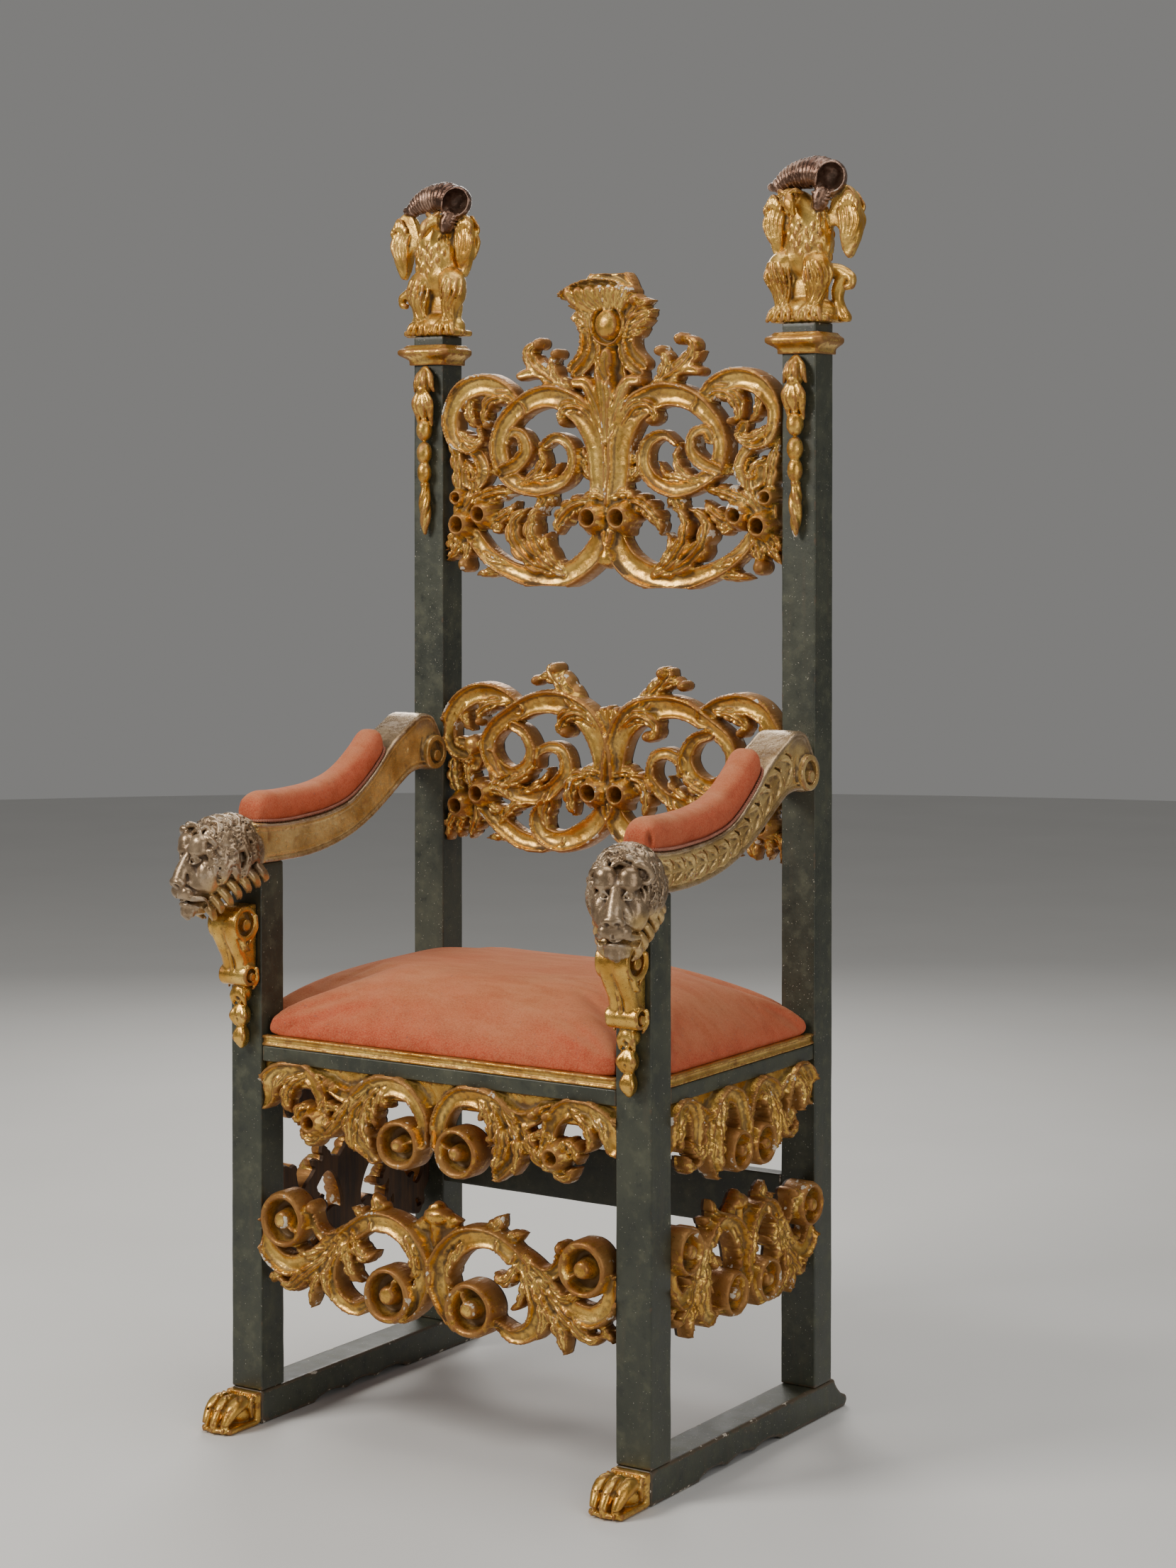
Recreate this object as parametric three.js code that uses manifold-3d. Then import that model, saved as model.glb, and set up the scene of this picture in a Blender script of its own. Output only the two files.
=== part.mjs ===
// Ceremonial armchair: a dark green timber frame of square posts on sledge runners, with gilt
// pierced carving in the back, below the seat and between the posts, arms that end in lions'
// heads, eagles with shells on the rear posts, and a velvet seat and arm pads.
// Millimetres, +Z up, the front faces -Y. The frame is drawn from the front posts' front face.
import * as THREE from 'three';
import { mergeVertices } from 'three/addons/utils/BufferGeometryUtils.js';
import Module from 'manifold-3d';

const wasm = await Module();
wasm.setup();

// Timber frame
const chairWidth = 680;
const chairDepth = 472.3;
const postWidth = 53;
const frontPostDepth = 48.6;
const rearPostDepth = 49.6;
const frontPostTop = 767.7;
const rearPostTop = 1507;
const joint = 0.3;

// Sledge runners and their lions' paws
const runnerHeight = 45.4;
const runnerTail = 44;
const runnerArch = 9;
const pawLength = 75;
const pawWidth = 56;
const soleHeight = 9;

// Seat frame, its gilt moulding and the velvet seat
const railBottom = 498.6;
const railHeight = 20.8;
const railDepth = 45;
const railRecess = 1.5;
const mouldingHeight = 14.4;
const mouldingDepth = 12;
const seatCrown = 94;
const seatSetback = 1.5;

// Carving below the seat and between the posts
const apronBottom = 385;
const apronBoardHeight = 33;
const apronBack = 26;
const apronBoard = 16;
const frontStretcherBottom = 169;
const sideStretcherBottom = 187;
const stretcherHeight = 164;
const stretcherBack = 27;
const backStretcherBottom = 254;
const backStretcherHeight = 80;
const backStretcherDepth = 24;

// Carved panels of the back
const backPanelSetback = 30;
const upperPanelBottom = 1140;
const upperPanelHeight = 438;
const lowerPanelBottom = 758;
const lowerPanelHeight = 264;
const carvingDepth = 46;

// Arms, pads and scroll brackets
const armWidth = 55;
const padWidth = 53;
const padHeight = 46;
const padLength = 287;
const bracketWidth = 44;
const bracketDrop = 53.7;
const bracketHeight = 112;
const bracketReach = 54;

// Rear posts' capitals, husk drops and eagles
const capitalDrop = 43;
const capitalHeight = 30;
const capitalNose = 17;
const dropGap = 1;
const dropLength = 250;
const eagleHeight = 183;

// Places that follow from the sizes above
const halfWidth = chairWidth / 2;
const clearHalf = halfWidth - postWidth;
const postX = halfWidth - postWidth / 2;
const rearFace = chairDepth - rearPostDepth;
const sideLength = rearFace - frontPostDepth;
const sideMiddle = frontPostDepth + sideLength / 2;
const railTop = railBottom + railHeight;
const mouldingTop = railTop + mouldingHeight + joint;
const bracketTop = frontPostTop - bracketDrop;
const bracketBottom = bracketTop - bracketHeight;
const capitalBottom = rearPostTop - capitalDrop;

// Finishes
function finish(color, roughness, metalness) {
  return new THREE.MeshStandardMaterial({ color, roughness, metalness });
}
const greenPaint = finish(0x33372b, 0.55, 0);
const gilding = finish(0xb08a3c, 0.35, 0.8);
const silvering = finish(0x7d7468, 0.45, 0.6);
const velvet = finish(0xd77a5e, 0.95, 0);

// Closed bodies from points and triangles
const point = (x, y, z) => new THREE.Vector3(x, y, z);

function signedVolume(points, triangles) {
  let sum = 0;
  for (const [a, b, c] of triangles) {
    sum += points[a].dot(point(0, 0, 0).crossVectors(points[b], points[c]));
  }
  return sum;
}

function closed(points, triangles) {
  const inward = signedVolume(points, triangles) < 0;
  const index = triangles.flatMap(([a, b, c]) => (inward ? [a, c, b] : [a, b, c]));
  const geometry = new THREE.BufferGeometry();
  geometry.setAttribute('position', new THREE.Float32BufferAttribute(points.flatMap((p) => p.toArray()), 3));
  geometry.setIndex(index);
  return geometry;
}

// A body through rings of equally many points. A last ring of one point makes a tip, and the
// other ends close with a fan.
function loft(stations) {
  const pointed = stations.at(-1).length === 1;
  const rings = pointed ? stations.slice(0, -1) : stations;
  const sides = rings[0].length;
  const points = rings.flat();
  const last = (rings.length - 1) * sides;
  const triangles = [];
  for (let ring = 0; ring < rings.length - 1; ring += 1) {
    for (let side = 0; side < sides; side += 1) {
      const a = ring * sides + side;
      const b = ring * sides + (side + 1) % sides;
      triangles.push([a, b, b + sides], [a, b + sides, a + sides]);
    }
  }
  const fan = (start, way, tip) => {
    const centre = points.push(tip) - 1;
    for (let side = 0; side < sides; side += 1) {
      const next = start + (side + 1) % sides;
      triangles.push(way > 0 ? [centre, start + side, next] : [centre, next, start + side]);
    }
  };
  const middle = (start) => points.slice(start, start + sides)
    .reduce((sum, at) => sum.addScaledVector(at, 1 / sides), point(0, 0, 0));
  const flatEnd = (start, way) => {
    if (sides > 6) {
      fan(start, way, middle(start));
      return;
    }
    for (let side = 1; side < sides - 1; side += 1) {
      const pair = [start + side, start + side + 1];
      triangles.push(way > 0 ? [start, ...pair] : [start, ...pair.reverse()]);
    }
  };
  flatEnd(0, -1);
  if (pointed) {
    fan(last, 1, stations.at(-1)[0]);
  } else {
    flatEnd(last, 1);
  }
  return closed(points, triangles);
}

// Joining and cutting
function toSolid(geometry) {
  const bare = geometry.clone();
  bare.deleteAttribute('normal');
  bare.deleteAttribute('uv');
  const merged = mergeVertices(bare, 1e-4);
  const mesh = new wasm.Mesh({
    numProp: 3,
    vertProperties: new Float32Array(merged.attributes.position.array),
    triVerts: new Uint32Array(merged.index.array),
  });
  return new wasm.Manifold(mesh);
}

function toGeometry(solid) {
  const mesh = solid.getMesh();
  const geometry = new THREE.BufferGeometry();
  geometry.setAttribute('position', new THREE.BufferAttribute(new Float32Array(mesh.vertProperties), 3));
  geometry.setIndex(new THREE.BufferAttribute(new Uint32Array(mesh.triVerts), 1));
  return geometry;
}

function fuse(bodies) {
  return toGeometry(bodies.map(toSolid).reduce((whole, body) => whole.add(body)));
}

function cut(body, cutters) {
  return toGeometry(cutters.map(toSolid).reduce((whole, cutter) => whole.subtract(cutter), toSolid(body)));
}

function keepInside(body, envelope) {
  return toGeometry(toSolid(body).intersect(toSolid(envelope)));
}

function mirrored(geometry) {
  const twin = geometry.clone().scale(-1, 1, 1);
  const index = twin.index.array;
  for (let i = 0; i < index.length; i += 3) {
    [index[i + 1], index[i + 2]] = [index[i + 2], index[i + 1]];
  }
  return twin;
}

// Plain blocks, balls and turned shapes
function block([x0, x1], [y0, y1], [z0, z1]) {
  return new THREE.BoxGeometry(x1 - x0, y1 - y0, z1 - z0)
    .translate((x0 + x1) / 2, (y0 + y1) / 2, (z0 + z1) / 2);
}

function ball([x, y, z], [rx, ry, rz], around = 8, down = 5) {
  return new THREE.SphereGeometry(1, around, down).rotateX(Math.PI / 2).scale(rx, ry, rz).translate(x, y, z);
}

// A tapered round limb through centres, each with its radius
function limb(stations, sides = 6) {
  const curve = stations.map(([centre]) => point(...centre));
  const rings = stations.map(([, radius], i) => {
    const before = curve[Math.max(0, i - 1)];
    const after = curve[Math.min(curve.length - 1, i + 1)];
    const along = after.clone().sub(before).normalize();
    const aside = (Math.abs(along.x) > 0.9 ? point(0, 1, 0) : point(1, 0, 0)).cross(along).normalize();
    const upward = along.clone().cross(aside);
    return Array.from({ length: sides }, (_, side) => {
      const angle = (2 * Math.PI * side) / sides;
      return curve[i].clone()
        .addScaledVector(aside, radius * Math.cos(angle))
        .addScaledVector(upward, radius * Math.sin(angle));
    });
  });
  return loft(rings);
}

// An outline in the side view, given as [y, z] points, with its width along X
function sideBoard(outline, width, middle = 0) {
  const shape = new THREE.Shape(outline.map(([y, z]) => new THREE.Vector2(y, z)));
  const board = new THREE.ExtrudeGeometry(shape, { depth: width, bevelEnabled: false });
  const axes = new THREE.Matrix4().makeBasis(point(0, 1, 0), point(0, 0, 1), point(1, 0, 0));
  return board.applyMatrix4(axes).translate(middle - width / 2, 0, 0);
}

function smooth(points, steps) {
  return new THREE.SplineCurve(points.map(([a, b]) => new THREE.Vector2(a, b)))
    .getSpacedPoints(steps)
    .map((p) => [p.x, p.y]);
}

function sample(values, t) {
  const place = t * (values.length - 1);
  const low = Math.min(Math.floor(place), values.length - 2);
  return values[low] + (values[low + 1] - values[low]) * (place - low);
}

// Carving strokes. A carved board is drawn seen from its face: u to the right, v upwards, and
// the rise above the flat back towards the viewer.
const bandStep = 48;
const leafStep = 52;
const bandSection = [[-1, 0], [1, 0], [0.35, 1]];
const leafSection = [[-1, 0], [1, 0], [0.15, 1]];
const roundSection = [[-1, 0], [1, 0], [0.6, 0.95], [-0.6, 0.95]];
const leafTaper = [0.5, 1, 0.9, 0.6, 0];

function stroke(path, halves, rises, section, step, hand) {
  const curve = new THREE.CatmullRomCurve3(path.map(([u, v]) => point(u, 0, v)), false, 'centripetal');
  const steps = Math.max(2, Math.round(curve.getLength() / step));
  const rings = [];
  for (let i = 0; i <= steps; i += 1) {
    const t = i / steps;
    const at = curve.getPointAt(t);
    const along = curve.getTangentAt(t);
    const half = sample(halves, t) * hand;
    const rise = sample(rises, t);
    if (half === 0) {
      rings.push([point(at.x, -rise * 0.4, at.z)]);
      break;
    }
    rings.push(section.map(([side, lift]) => point(
      at.x - along.z * side * half,
      -lift * rise,
      at.z + along.x * side * half,
    )));
  }
  return loft(rings);
}

function spiral([u, v], from, to, startTurn, endTurn, count) {
  return Array.from({ length: count + 1 }, (_, i) => {
    const t = i / count;
    const angle = 2 * Math.PI * (startTurn + (endTurn - startTurn) * t);
    const radius = from + (to - from) * t;
    return [u + radius * Math.cos(angle), v + radius * Math.sin(angle)];
  });
}

// A round or oval feature standing on the board: [share of the radii, rise] pairs
function turned([u, v], [radiusU, radiusV], profile, count = 6) {
  const rings = profile.map(([share, rise]) => Array.from({ length: count }, (_, side) => {
    const angle = (2 * Math.PI * (side + 0.5)) / count;
    return point(u + radiusU * share * Math.cos(angle), -rise, v + radiusV * share * Math.sin(angle));
  }));
  return loft(rings);
}

// Drawn sizes of the carved designs: the half width and the depth that all are drawn on, and
// their heights
const drawnHalf = 287;
const drawnDepth = 46;
const drawnHeights = { upper: 438, lower: 264, apron: 113.3, stretcher: 164 };

// A carver's pen for one board: every mark is drawn on the right and repeated on the left
function carver(scaleU, scaleV) {
  const bodies = [];
  const both = [1, -1];
  const girth = Math.sqrt(scaleU * scaleV);
  const depth = carvingDepth / drawnDepth;
  const wide = (halves) => halves.map((half) => half * girth);
  const deep = (rises) => rises.map((rise) => rise * depth);
  const shaped = (profile) => profile.map(([share, rise]) => [share, rise * depth]);
  const marks = (sides, make) => sides.forEach((side) => bodies.push(
    make(([u, v]) => [u * scaleU * side, v * scaleV], side)));
  return {
    bodies,
    band: (path, halves, rises, rim = 1, sides = both) => marks(sides, (at, side) => stroke(
      path.map(at), wide(halves), deep(rises), bandSection, bandStep * girth, side * rim)),
    leaf: (path, half, rise, sides = both) => marks(sides, (at, side) => stroke(
      path.map(at), wide(leafTaper.map((share) => share * half)), deep([rise * 0.8, rise, rise * 0.7]),
      leafSection, leafStep * girth, side)),
    button: (middle, radius, rise, sides = both) => marks(sides, (at) => turned(
      at(middle), wide([radius, radius]), shaped([[1, 0], [0.8, rise]]))),
    volute: (middle, radius, rise) => marks(both, (at) => turned(
      at(middle), wide([radius, radius]),
      shaped([[1, 0], [1, rise], [0.7, rise], [0.5, rise - radius * 0.4]]), 8)),
    flower: (middle, radius, hole, rise) => marks(both, (at) => turned(
      at(middle), wide([radius, radius]), shaped([[0.8, 0], [1, rise], [hole / radius, rise * 0.8]]))),
    oval: (middle, radii, rise) => marks([1], (at) => turned(
      at(middle), wide(radii), shaped([[1, 0], [1, rise * 0.7], [0.6, rise]]), 8)),
  };
}

function upperPanelDesign(pen) {
  const flowerRise = 46;
  // Trunk and great scroll, ending in the inner volute
  pen.band([[17, 118], [18, 165], [22, 208], [44, 250], [86, 272], [130, 269], [165, 246], [187, 208],
    [179, 170], [149, 147], [110, 141], [78, 153], [61, 178], [68, 204], [90, 214], [110, 206]],
  [16, 17, 18, 18, 16, 13, 12, 11, 10, 9, 7], [34, 34, 38, 40, 38, 36, 34, 30]);
  pen.band([[0, 205], [-2, 275], [-7, 312]], [5, 8, 9], [30, 36], 1, [1]);
  pen.leaf([[4, 220], [18, 268], [34, 299]], 9, 30);
  pen.leaf([[16, 232], [52, 258], [78, 254], [72, 236]], 10, 34);
  // Leaves inside and below the great scroll
  pen.band([[178, 160], [132, 186], [140, 222], [158, 206]], [8, 12, 9, 6], [30, 36, 34], -1);
  pen.leaf([[103, 146], [118, 124], [115, 108]], 12, 28);
  // Outer scroll and its inner lobes
  pen.band([[150, 258], [180, 284], [218, 293], [256, 278], [275, 245], [264, 212], [238, 204], [216, 216]],
    [10, 12, 15, 15, 13, 11, 8], [32, 36, 38, 34]);
  pen.leaf([[158, 262], [185, 275], [209, 268], [214, 242]], 14, 32);
  // Leaves that rise from the arches
  pen.leaf([[50, 272], [90, 297], [125, 316], [143, 338], [126, 354]], 15, 32);
  pen.leaf([[78, 290], [95, 318], [98, 338]], 10, 34);
  // Boss of trumpet flowers below the trunk
  pen.flower([23, 101], 21, 8, flowerRise);
  pen.band([[-38, 122], [0, 128], [38, 122]], [6, 8, 6], [38, 42, 38], 1, [1]);
  pen.leaf([[34, 112], [60, 101], [82, 78]], 16, 36);
  pen.button([0, 38], 13, 40, [1]);
  // Bottom scroll with its great leaf
  pen.band([[3, 92], [22, 48], [50, 26], [90, 13], [135, 13], [180, 28], [212, 48], [236, 74]],
    [14, 16, 16, 13, 12, 11, 10], [34, 36, 34, 30], -1);
  pen.leaf([[84, 20], [124, 38], [152, 74], [142, 101], [110, 103]], 17, 36);
  pen.leaf([[166, 24], [205, 20], [230, 14]], 9, 26);
  // Corner cluster against the post
  pen.flower([219, 101], 19, 7, flowerRise);
  pen.flower([254, 88], 19, 7, flowerRise);
  pen.leaf([[264, 96], [236, 116], [196, 126], [156, 134]], 15, 36);
  pen.leaf([[270, 100], [262, 150], [270, 188], [283, 216]], 14, 36);
  pen.button([240, 156], 20, 38);
  pen.band([[264, 170], [180, 172]], [10, 9], [26, 28]);
  pen.leaf([[252, 76], [268, 56], [282, 30]], 12, 32);
  pen.leaf([[236, 84], [246, 56], [250, 26]], 13, 34);
}

// Hourglass cartouche with an oval boss between scrolled sides, under a shell crest
function cartouche(pen) {
  pen.band([[0, 296], [0, 340], [0, 380], [0, 430]], [32, 24, 32, 56], [20, 22, 22, 30], 1, [1]);
  pen.band([[38, 306], [22, 338], [28, 376], [72, 404]], [9, 8, 9, 6], [28, 32, 30]);
  pen.band([[60, 312], [36, 338], [36, 362], [70, 382]], [9, 10, 9, 4], [24, 28, 26], -1);
  pen.oval([0, 373], [22, 26], 32);
  pen.band([[-72, 418], [-40, 431], [0, 434], [40, 430], [52, 420]], [7, 9, 9, 8, 5], [30, 36, 30], 1, [1]);
}

function lowerPanelDesign(pen) {
  const flowerRise = 46;
  // Trunk that forks into arches, each ending in a ring
  pen.band([[8, 106], [14, 148], [30, 182], [54, 204], [90, 211], [130, 208], [165, 192], [196, 172],
    [207, 147], [194, 118], [168, 104], [142, 117], [131, 142], [142, 170], [162, 186]],
  [14, 15, 15, 14, 14, 13, 11, 10, 10, 10, 9], [32, 36, 36, 38, 40, 38, 34]);
  pen.leaf([[38, 196], [62, 226], [82, 247], [102, 260], [122, 246]], 14, 32);
  pen.leaf([[33, 190], [55, 197], [76, 184], [68, 166]], 10, 36);
  pen.band([[0, 150], [0, 206]], [10, 24], [22, 28], 1, [1]);
  // Outer scroll with ball and inner leaf
  pen.band([[160, 206], [190, 219], [226, 222], [259, 204], [278, 172], [271, 142], [250, 132], [228, 146]],
    [10, 12, 13, 13, 11, 10, 9], [32, 36, 36, 34]);
  // Inner spiral below the arch
  pen.band([[206, 130], [190, 98], [160, 80], [126, 78], [93, 90], [73, 114], [76, 138], [98, 147],
    [121, 138], [126, 122], [112, 112]], [9, 12, 13, 11, 10, 8, 6], [32, 36, 36, 32], -1);
  pen.leaf([[98, 92], [108, 68], [112, 48], [104, 28]], 13, 32);
  // Bottom scrolls
  pen.band([[5, 62], [25, 38], [55, 22], [90, 16], [114, 28], [121, 48], [110, 64]],
    [13, 13, 14, 13, 11, 8], [34, 36, 36, 32], -1);
  pen.band([[58, 16], [100, 7], [140, 9], [176, 28], [205, 48], [226, 66]],
    [8, 10, 13, 12, 10], [30, 32, 30], -1);
  // Boss of trumpet flowers
  pen.flower([22, 89], 21, 8, flowerRise);
  pen.band([[-46, 108], [0, 113], [46, 108]], [7, 8, 7], [38, 42, 38], 1, [1]);
  pen.leaf([[34, 106], [62, 96], [54, 60]], 12, 36);
  // Corner cluster against the post
  pen.flower([219, 76], 18, 7, flowerRise);
  pen.flower([258, 56], 17, 7, flowerRise);
  pen.leaf([[254, 66], [270, 98], [268, 138]], 14, 34);
  pen.leaf([[232, 78], [244, 112], [232, 140]], 12, 36);
  pen.leaf([[262, 50], [280, 28], [284, 6]], 9, 30);
  pen.leaf([[224, 66], [232, 34], [240, 8]], 14, 32);
}

// Hanging carving below the seat: twin volutes in the middle, falling acanthus and end arches
function apronDesign(pen) {
  const volute = [47, 28];
  pen.volute(volute, 34, 40);
  pen.button(volute, 11, 41);
  pen.band([[98, 6], [116, 30], [118, 58], [100, 90], [66, 101], [38, 93], [19, 68], [16, 36]],
    [9, 19, 18, 15, 13, 11, 9, 8], [26, 30, 34, 38, 38], -1);
  pen.leaf([[114, 84], [134, 48], [130, 6]], 15, 32);
  pen.band([[108, 92], [140, 74], [186, 96]], [9, 12, 7], [28, 32, 28]);
  pen.leaf([[124, 70], [146, 38], [176, 20], [214, 14]], 15, 32);
  pen.band([[186, 56], [200, 97], [230, 104], [262, 96], [284, 74]], [8, 10, 12, 12, 14], [30, 34, 32]);
}

function apronSprays(pen) {
  pen.flower([190, 44], 20, 7, 40);
  pen.leaf([[222, 96], [244, 78], [239, 50]], 13, 32);
}

// Stretcher carving: inner volutes, arches, falling leaves and outer volutes at the posts
function stretcherDesign(pen) {
  const inner = [66, 42];
  const outer = [243, 120];
  for (const volute of [inner, outer]) {
    pen.volute(volute, 37, 40);
    pen.button(volute, 13, 41);
  }
  pen.band([[30, 30], [14, 76], [30, 108], [60, 130], [96, 134], [132, 118], [166, 92], [204, 64],
    [244, 56], [272, 76], [280, 102]],
  [9, 10, 12, 14, 15, 15, 14, 14, 12, 11, 9], [34, 32, 32, 32, 36]);
  pen.band([[150, 106], [165, 72], [156, 34], [122, 16], [96, 34]], [8, 12, 12, 10, 6], [32, 34, 34], -1);
  pen.leaf([[188, 70], [201, 30], [202, 2]], 12, 28);
  pen.leaf([[82, 128], [96, 148], [104, 162]], 13, 20);
  pen.leaf([[158, 100], [174, 132], [198, 146]], 11, 28);
  pen.band([[0, 84], [0, 148]], [14, 46], [26, 24], 1, [1]);
}

function stretcherSprays(pen) {
  pen.leaf([[120, 122], [117, 94], [84, 82]], 11, 32);
  pen.leaf([[190, 64], [226, 34], [250, 22], [268, 38]], 12, 26);
  pen.oval([0, 152], [19, 11], 20);
}

// One carved board: a design fitted between two posts, cut flat against both
function carvedBoard({ clear, height, drawnHeight, designs, boards = [], ceiling = 2 * height }) {
  const pen = carver(clear / drawnHalf, height / drawnHeight);
  designs.forEach((design) => design(pen));
  const whole = fuse([...pen.bodies, ...boards]);
  const edge = clear - joint;
  return keepInside(whole, block([-edge, edge], [-height, 1], [-height, ceiling]));
}

function apron(clear, designs) {
  const height = railBottom - joint - apronBottom;
  const board = block([-clear - 1, clear + 1], [-apronBoard, 0], [height - apronBoardHeight, height]);
  return carvedBoard({
    clear,
    height,
    drawnHeight: drawnHeights.apron,
    designs,
    boards: [board],
    ceiling: height,
  });
}

function stretcher(clear, designs) {
  return carvedBoard({
    clear,
    height: stretcherHeight,
    drawnHeight: drawnHeights.stretcher,
    designs,
  });
}

// Frame pieces
const chair = new THREE.Group();

function piece(name, geometry, material, [x, y, z] = [0, 0, 0], turn = 0) {
  const mesh = new THREE.Mesh(geometry, material);
  mesh.name = name;
  mesh.position.set(x, y, z);
  mesh.rotation.z = turn;
  chair.add(mesh);
}

const flanks = [['left', -1], ['right', 1]];

function posts() {
  const half = postWidth / 2;
  const foot = runnerHeight + joint;
  for (const [side, way] of flanks) {
    const front = block([-half, half], [0, frontPostDepth], [foot, frontPostTop]);
    const rear = block([-half, half], [0, rearPostDepth], [foot, rearPostTop]);
    piece(`${side}_front_post`, front, greenPaint, [way * postX, 0, 0]);
    piece(`${side}_rear_post`, rear, greenPaint, [way * postX, rearFace, 0]);
  }
}

// Runner: flat at both ends, a cusped arch between, an ogee tail and a carved paw in front
function runnerOutline() {
  const archStart = frontPostDepth + 72;
  const archEnd = rearFace - 92;
  const waves = 3;
  const perWave = 4;
  const outline = [[-2, 0], [archStart, 0]];
  for (let i = 0; i <= waves * perWave; i += 1) {
    const along = i / (waves * perWave);
    const wave = Math.abs(Math.sin(Math.PI * along * waves));
    outline.push([archStart + 4 + (archEnd - archStart - 8) * along, runnerArch * (0.35 + 0.65 * wave)]);
  }
  outline.push([archEnd, 0]);
  const end = chairDepth + runnerTail;
  outline.push([end - 4, 0], [end + 3, 8], [end, 15], [end - 14, 21], [end - 25, 30], [end - 32, 39]);
  outline.push([end - 35, runnerHeight], [-2, runnerHeight]);
  return outline;
}

// Paw: one loft from the post's face to the claws, with three toes raised along its back
function paw() {
  const across = [-1, -1, -0.72, -0.36, 0, 0.36, 0.72, 1, 1];
  const knuckles = [0, 0.62, 1, 0.74, 1.05, 0.74, 1, 0.62, 0];
  const band = [0, 0.8, 1, 1, 1, 1, 1, 0.8, 0];
  const toes = across.map((x, i) => [x, knuckles[i]]);
  const cuff = across.map((x, i) => [x, band[i]]);
  const ring = (section, y, half, height) => section.map(([x, z]) => point(x * half, y, z * height));
  const half = pawWidth / 2;
  return loft([
    ring(cuff, 1, half - 2, runnerHeight - 0.4),
    ring(cuff, -9, half - 2, runnerHeight - 1),
    ring(toes, -13, half - 5, runnerHeight - 9),
    ring(toes, -pawLength * 0.42, half, runnerHeight - 4),
    ring(toes, -pawLength * 0.72, half - 1, runnerHeight - 13),
    ring(toes, -pawLength * 0.92, half - 5, runnerHeight - 22),
    ring(toes, -pawLength, half - 12, soleHeight),
  ]);
}

function runners() {
  for (const [side, way] of flanks) {
    const geometry = fuse([sideBoard(runnerOutline(), postWidth), paw()]);
    piece(`${side}_runner`, geometry, greenPaint, [way * postX, 0, 0]);
  }
}

// Seat frame: four rails between the posts, each with its gilt moulding on top
function seatFrame() {
  const across = [-clearHalf + joint, clearHalf - joint];
  const along = [frontPostDepth + joint, rearFace - joint];
  const tall = [railBottom, railTop];
  const outer = halfWidth - railRecess;
  piece('front_seat_rail', block(across, [railRecess, railRecess + railDepth], tall), greenPaint);
  piece('back_seat_rail',
    block(across, [chairDepth - railRecess - railDepth, chairDepth - railRecess], tall), greenPaint);
  for (const [side, way] of flanks) {
    const reach = [outer - railDepth, outer].map((x) => x * way).sort((a, b) => a - b);
    piece(`${side}_seat_rail`, block(reach, along, tall), greenPaint);
  }
  const low = railTop + joint;
  const hollow = mouldingDepth - 2.2;
  const edge = mouldingDepth - 1.5;
  const nose = [[0, low], [edge, low], [mouldingDepth, low + 2], [hollow, low + 4.5],
    [hollow, mouldingTop - 4.5], [mouldingDepth, mouldingTop - 2], [edge, mouldingTop], [0, mouldingTop]];
  const strip = (length) => sideBoard(nose.map(([y, z]) => [-y, z]), length);
  const acrossLength = 2 * clearHalf - 2 * joint;
  const alongLength = sideLength - 2 * joint;
  piece('front_seat_moulding', strip(acrossLength), gilding, [0, railRecess + mouldingDepth, 0]);
  piece('back_seat_moulding', strip(acrossLength), gilding,
    [0, chairDepth - railRecess - mouldingDepth, 0], Math.PI);
  for (const [side, way] of flanks) {
    piece(`${side}_seat_moulding`, strip(alongLength), gilding,
      [way * (outer - mouldingDepth), sideMiddle, 0], way * Math.PI / 2);
  }
}

// Velvet seat: fills the frame inside the mouldings, laps over them and domes between the posts
function seatCushion() {
  const postGap = 1;
  const outline = (inset, z) => {
    const x = halfWidth - seatSetback - inset;
    const xNotch = clearHalf - postGap - inset;
    const front = seatSetback + inset;
    const frontNotch = frontPostDepth + postGap + inset;
    const back = chairDepth - seatSetback - inset;
    const backNotch = rearFace - postGap - inset;
    return [[xNotch, front], [xNotch, frontNotch], [x, frontNotch], [x, backNotch], [xNotch, backNotch],
      [xNotch, back], [-xNotch, back], [-xNotch, backNotch], [-x, backNotch], [-x, frontNotch],
      [-xNotch, frontNotch], [-xNotch, front]].map(([px, py]) => point(px, py, z));
  };
  const inside = mouldingDepth + joint;
  const low = mouldingTop + joint;
  const dome = [[1, 0], [0, 0.06], [0, 0.17], [12, 0.37], [36, 0.58], [70, 0.78], [110, 0.92], [150, 0.98]];
  const rings = [outline(inside, railTop + joint), outline(inside, low)];
  for (const [inset, share] of dome) {
    rings.push(outline(inset, low + seatCrown * share));
  }
  return loft(rings);
}

// Arm: its side outline, drawn as heights above the front post on the clear length to the rear post
const drawnReach = 422.7;
const armTopLine = [[-8, 56], [50, 53], [100, 55], [150, 60], [200, 73], [250, 104], [300, 147], [340, 170],
  [372, 184], [398, 177], [414, 152], [423, 136]];
const armUnderLine = [[423, 112], [398, 100], [368, 103], [340, 98], [300, 74], [250, 44], [200, 22],
  [150, 9], [100, 2], [50, joint], [-8, joint]];
const headTurn = 0.33;
const rearVolute = { y: 396, z: 126, radius: 25, button: 9, stand: 9 };
const fitReach = (y) => (y * rearFace) / drawnReach;

function armOutline() {
  return [...smooth(armTopLine, 14), ...smooth(armUnderLine, 11)].map(([y, z]) => [fitReach(y), z]);
}

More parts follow.
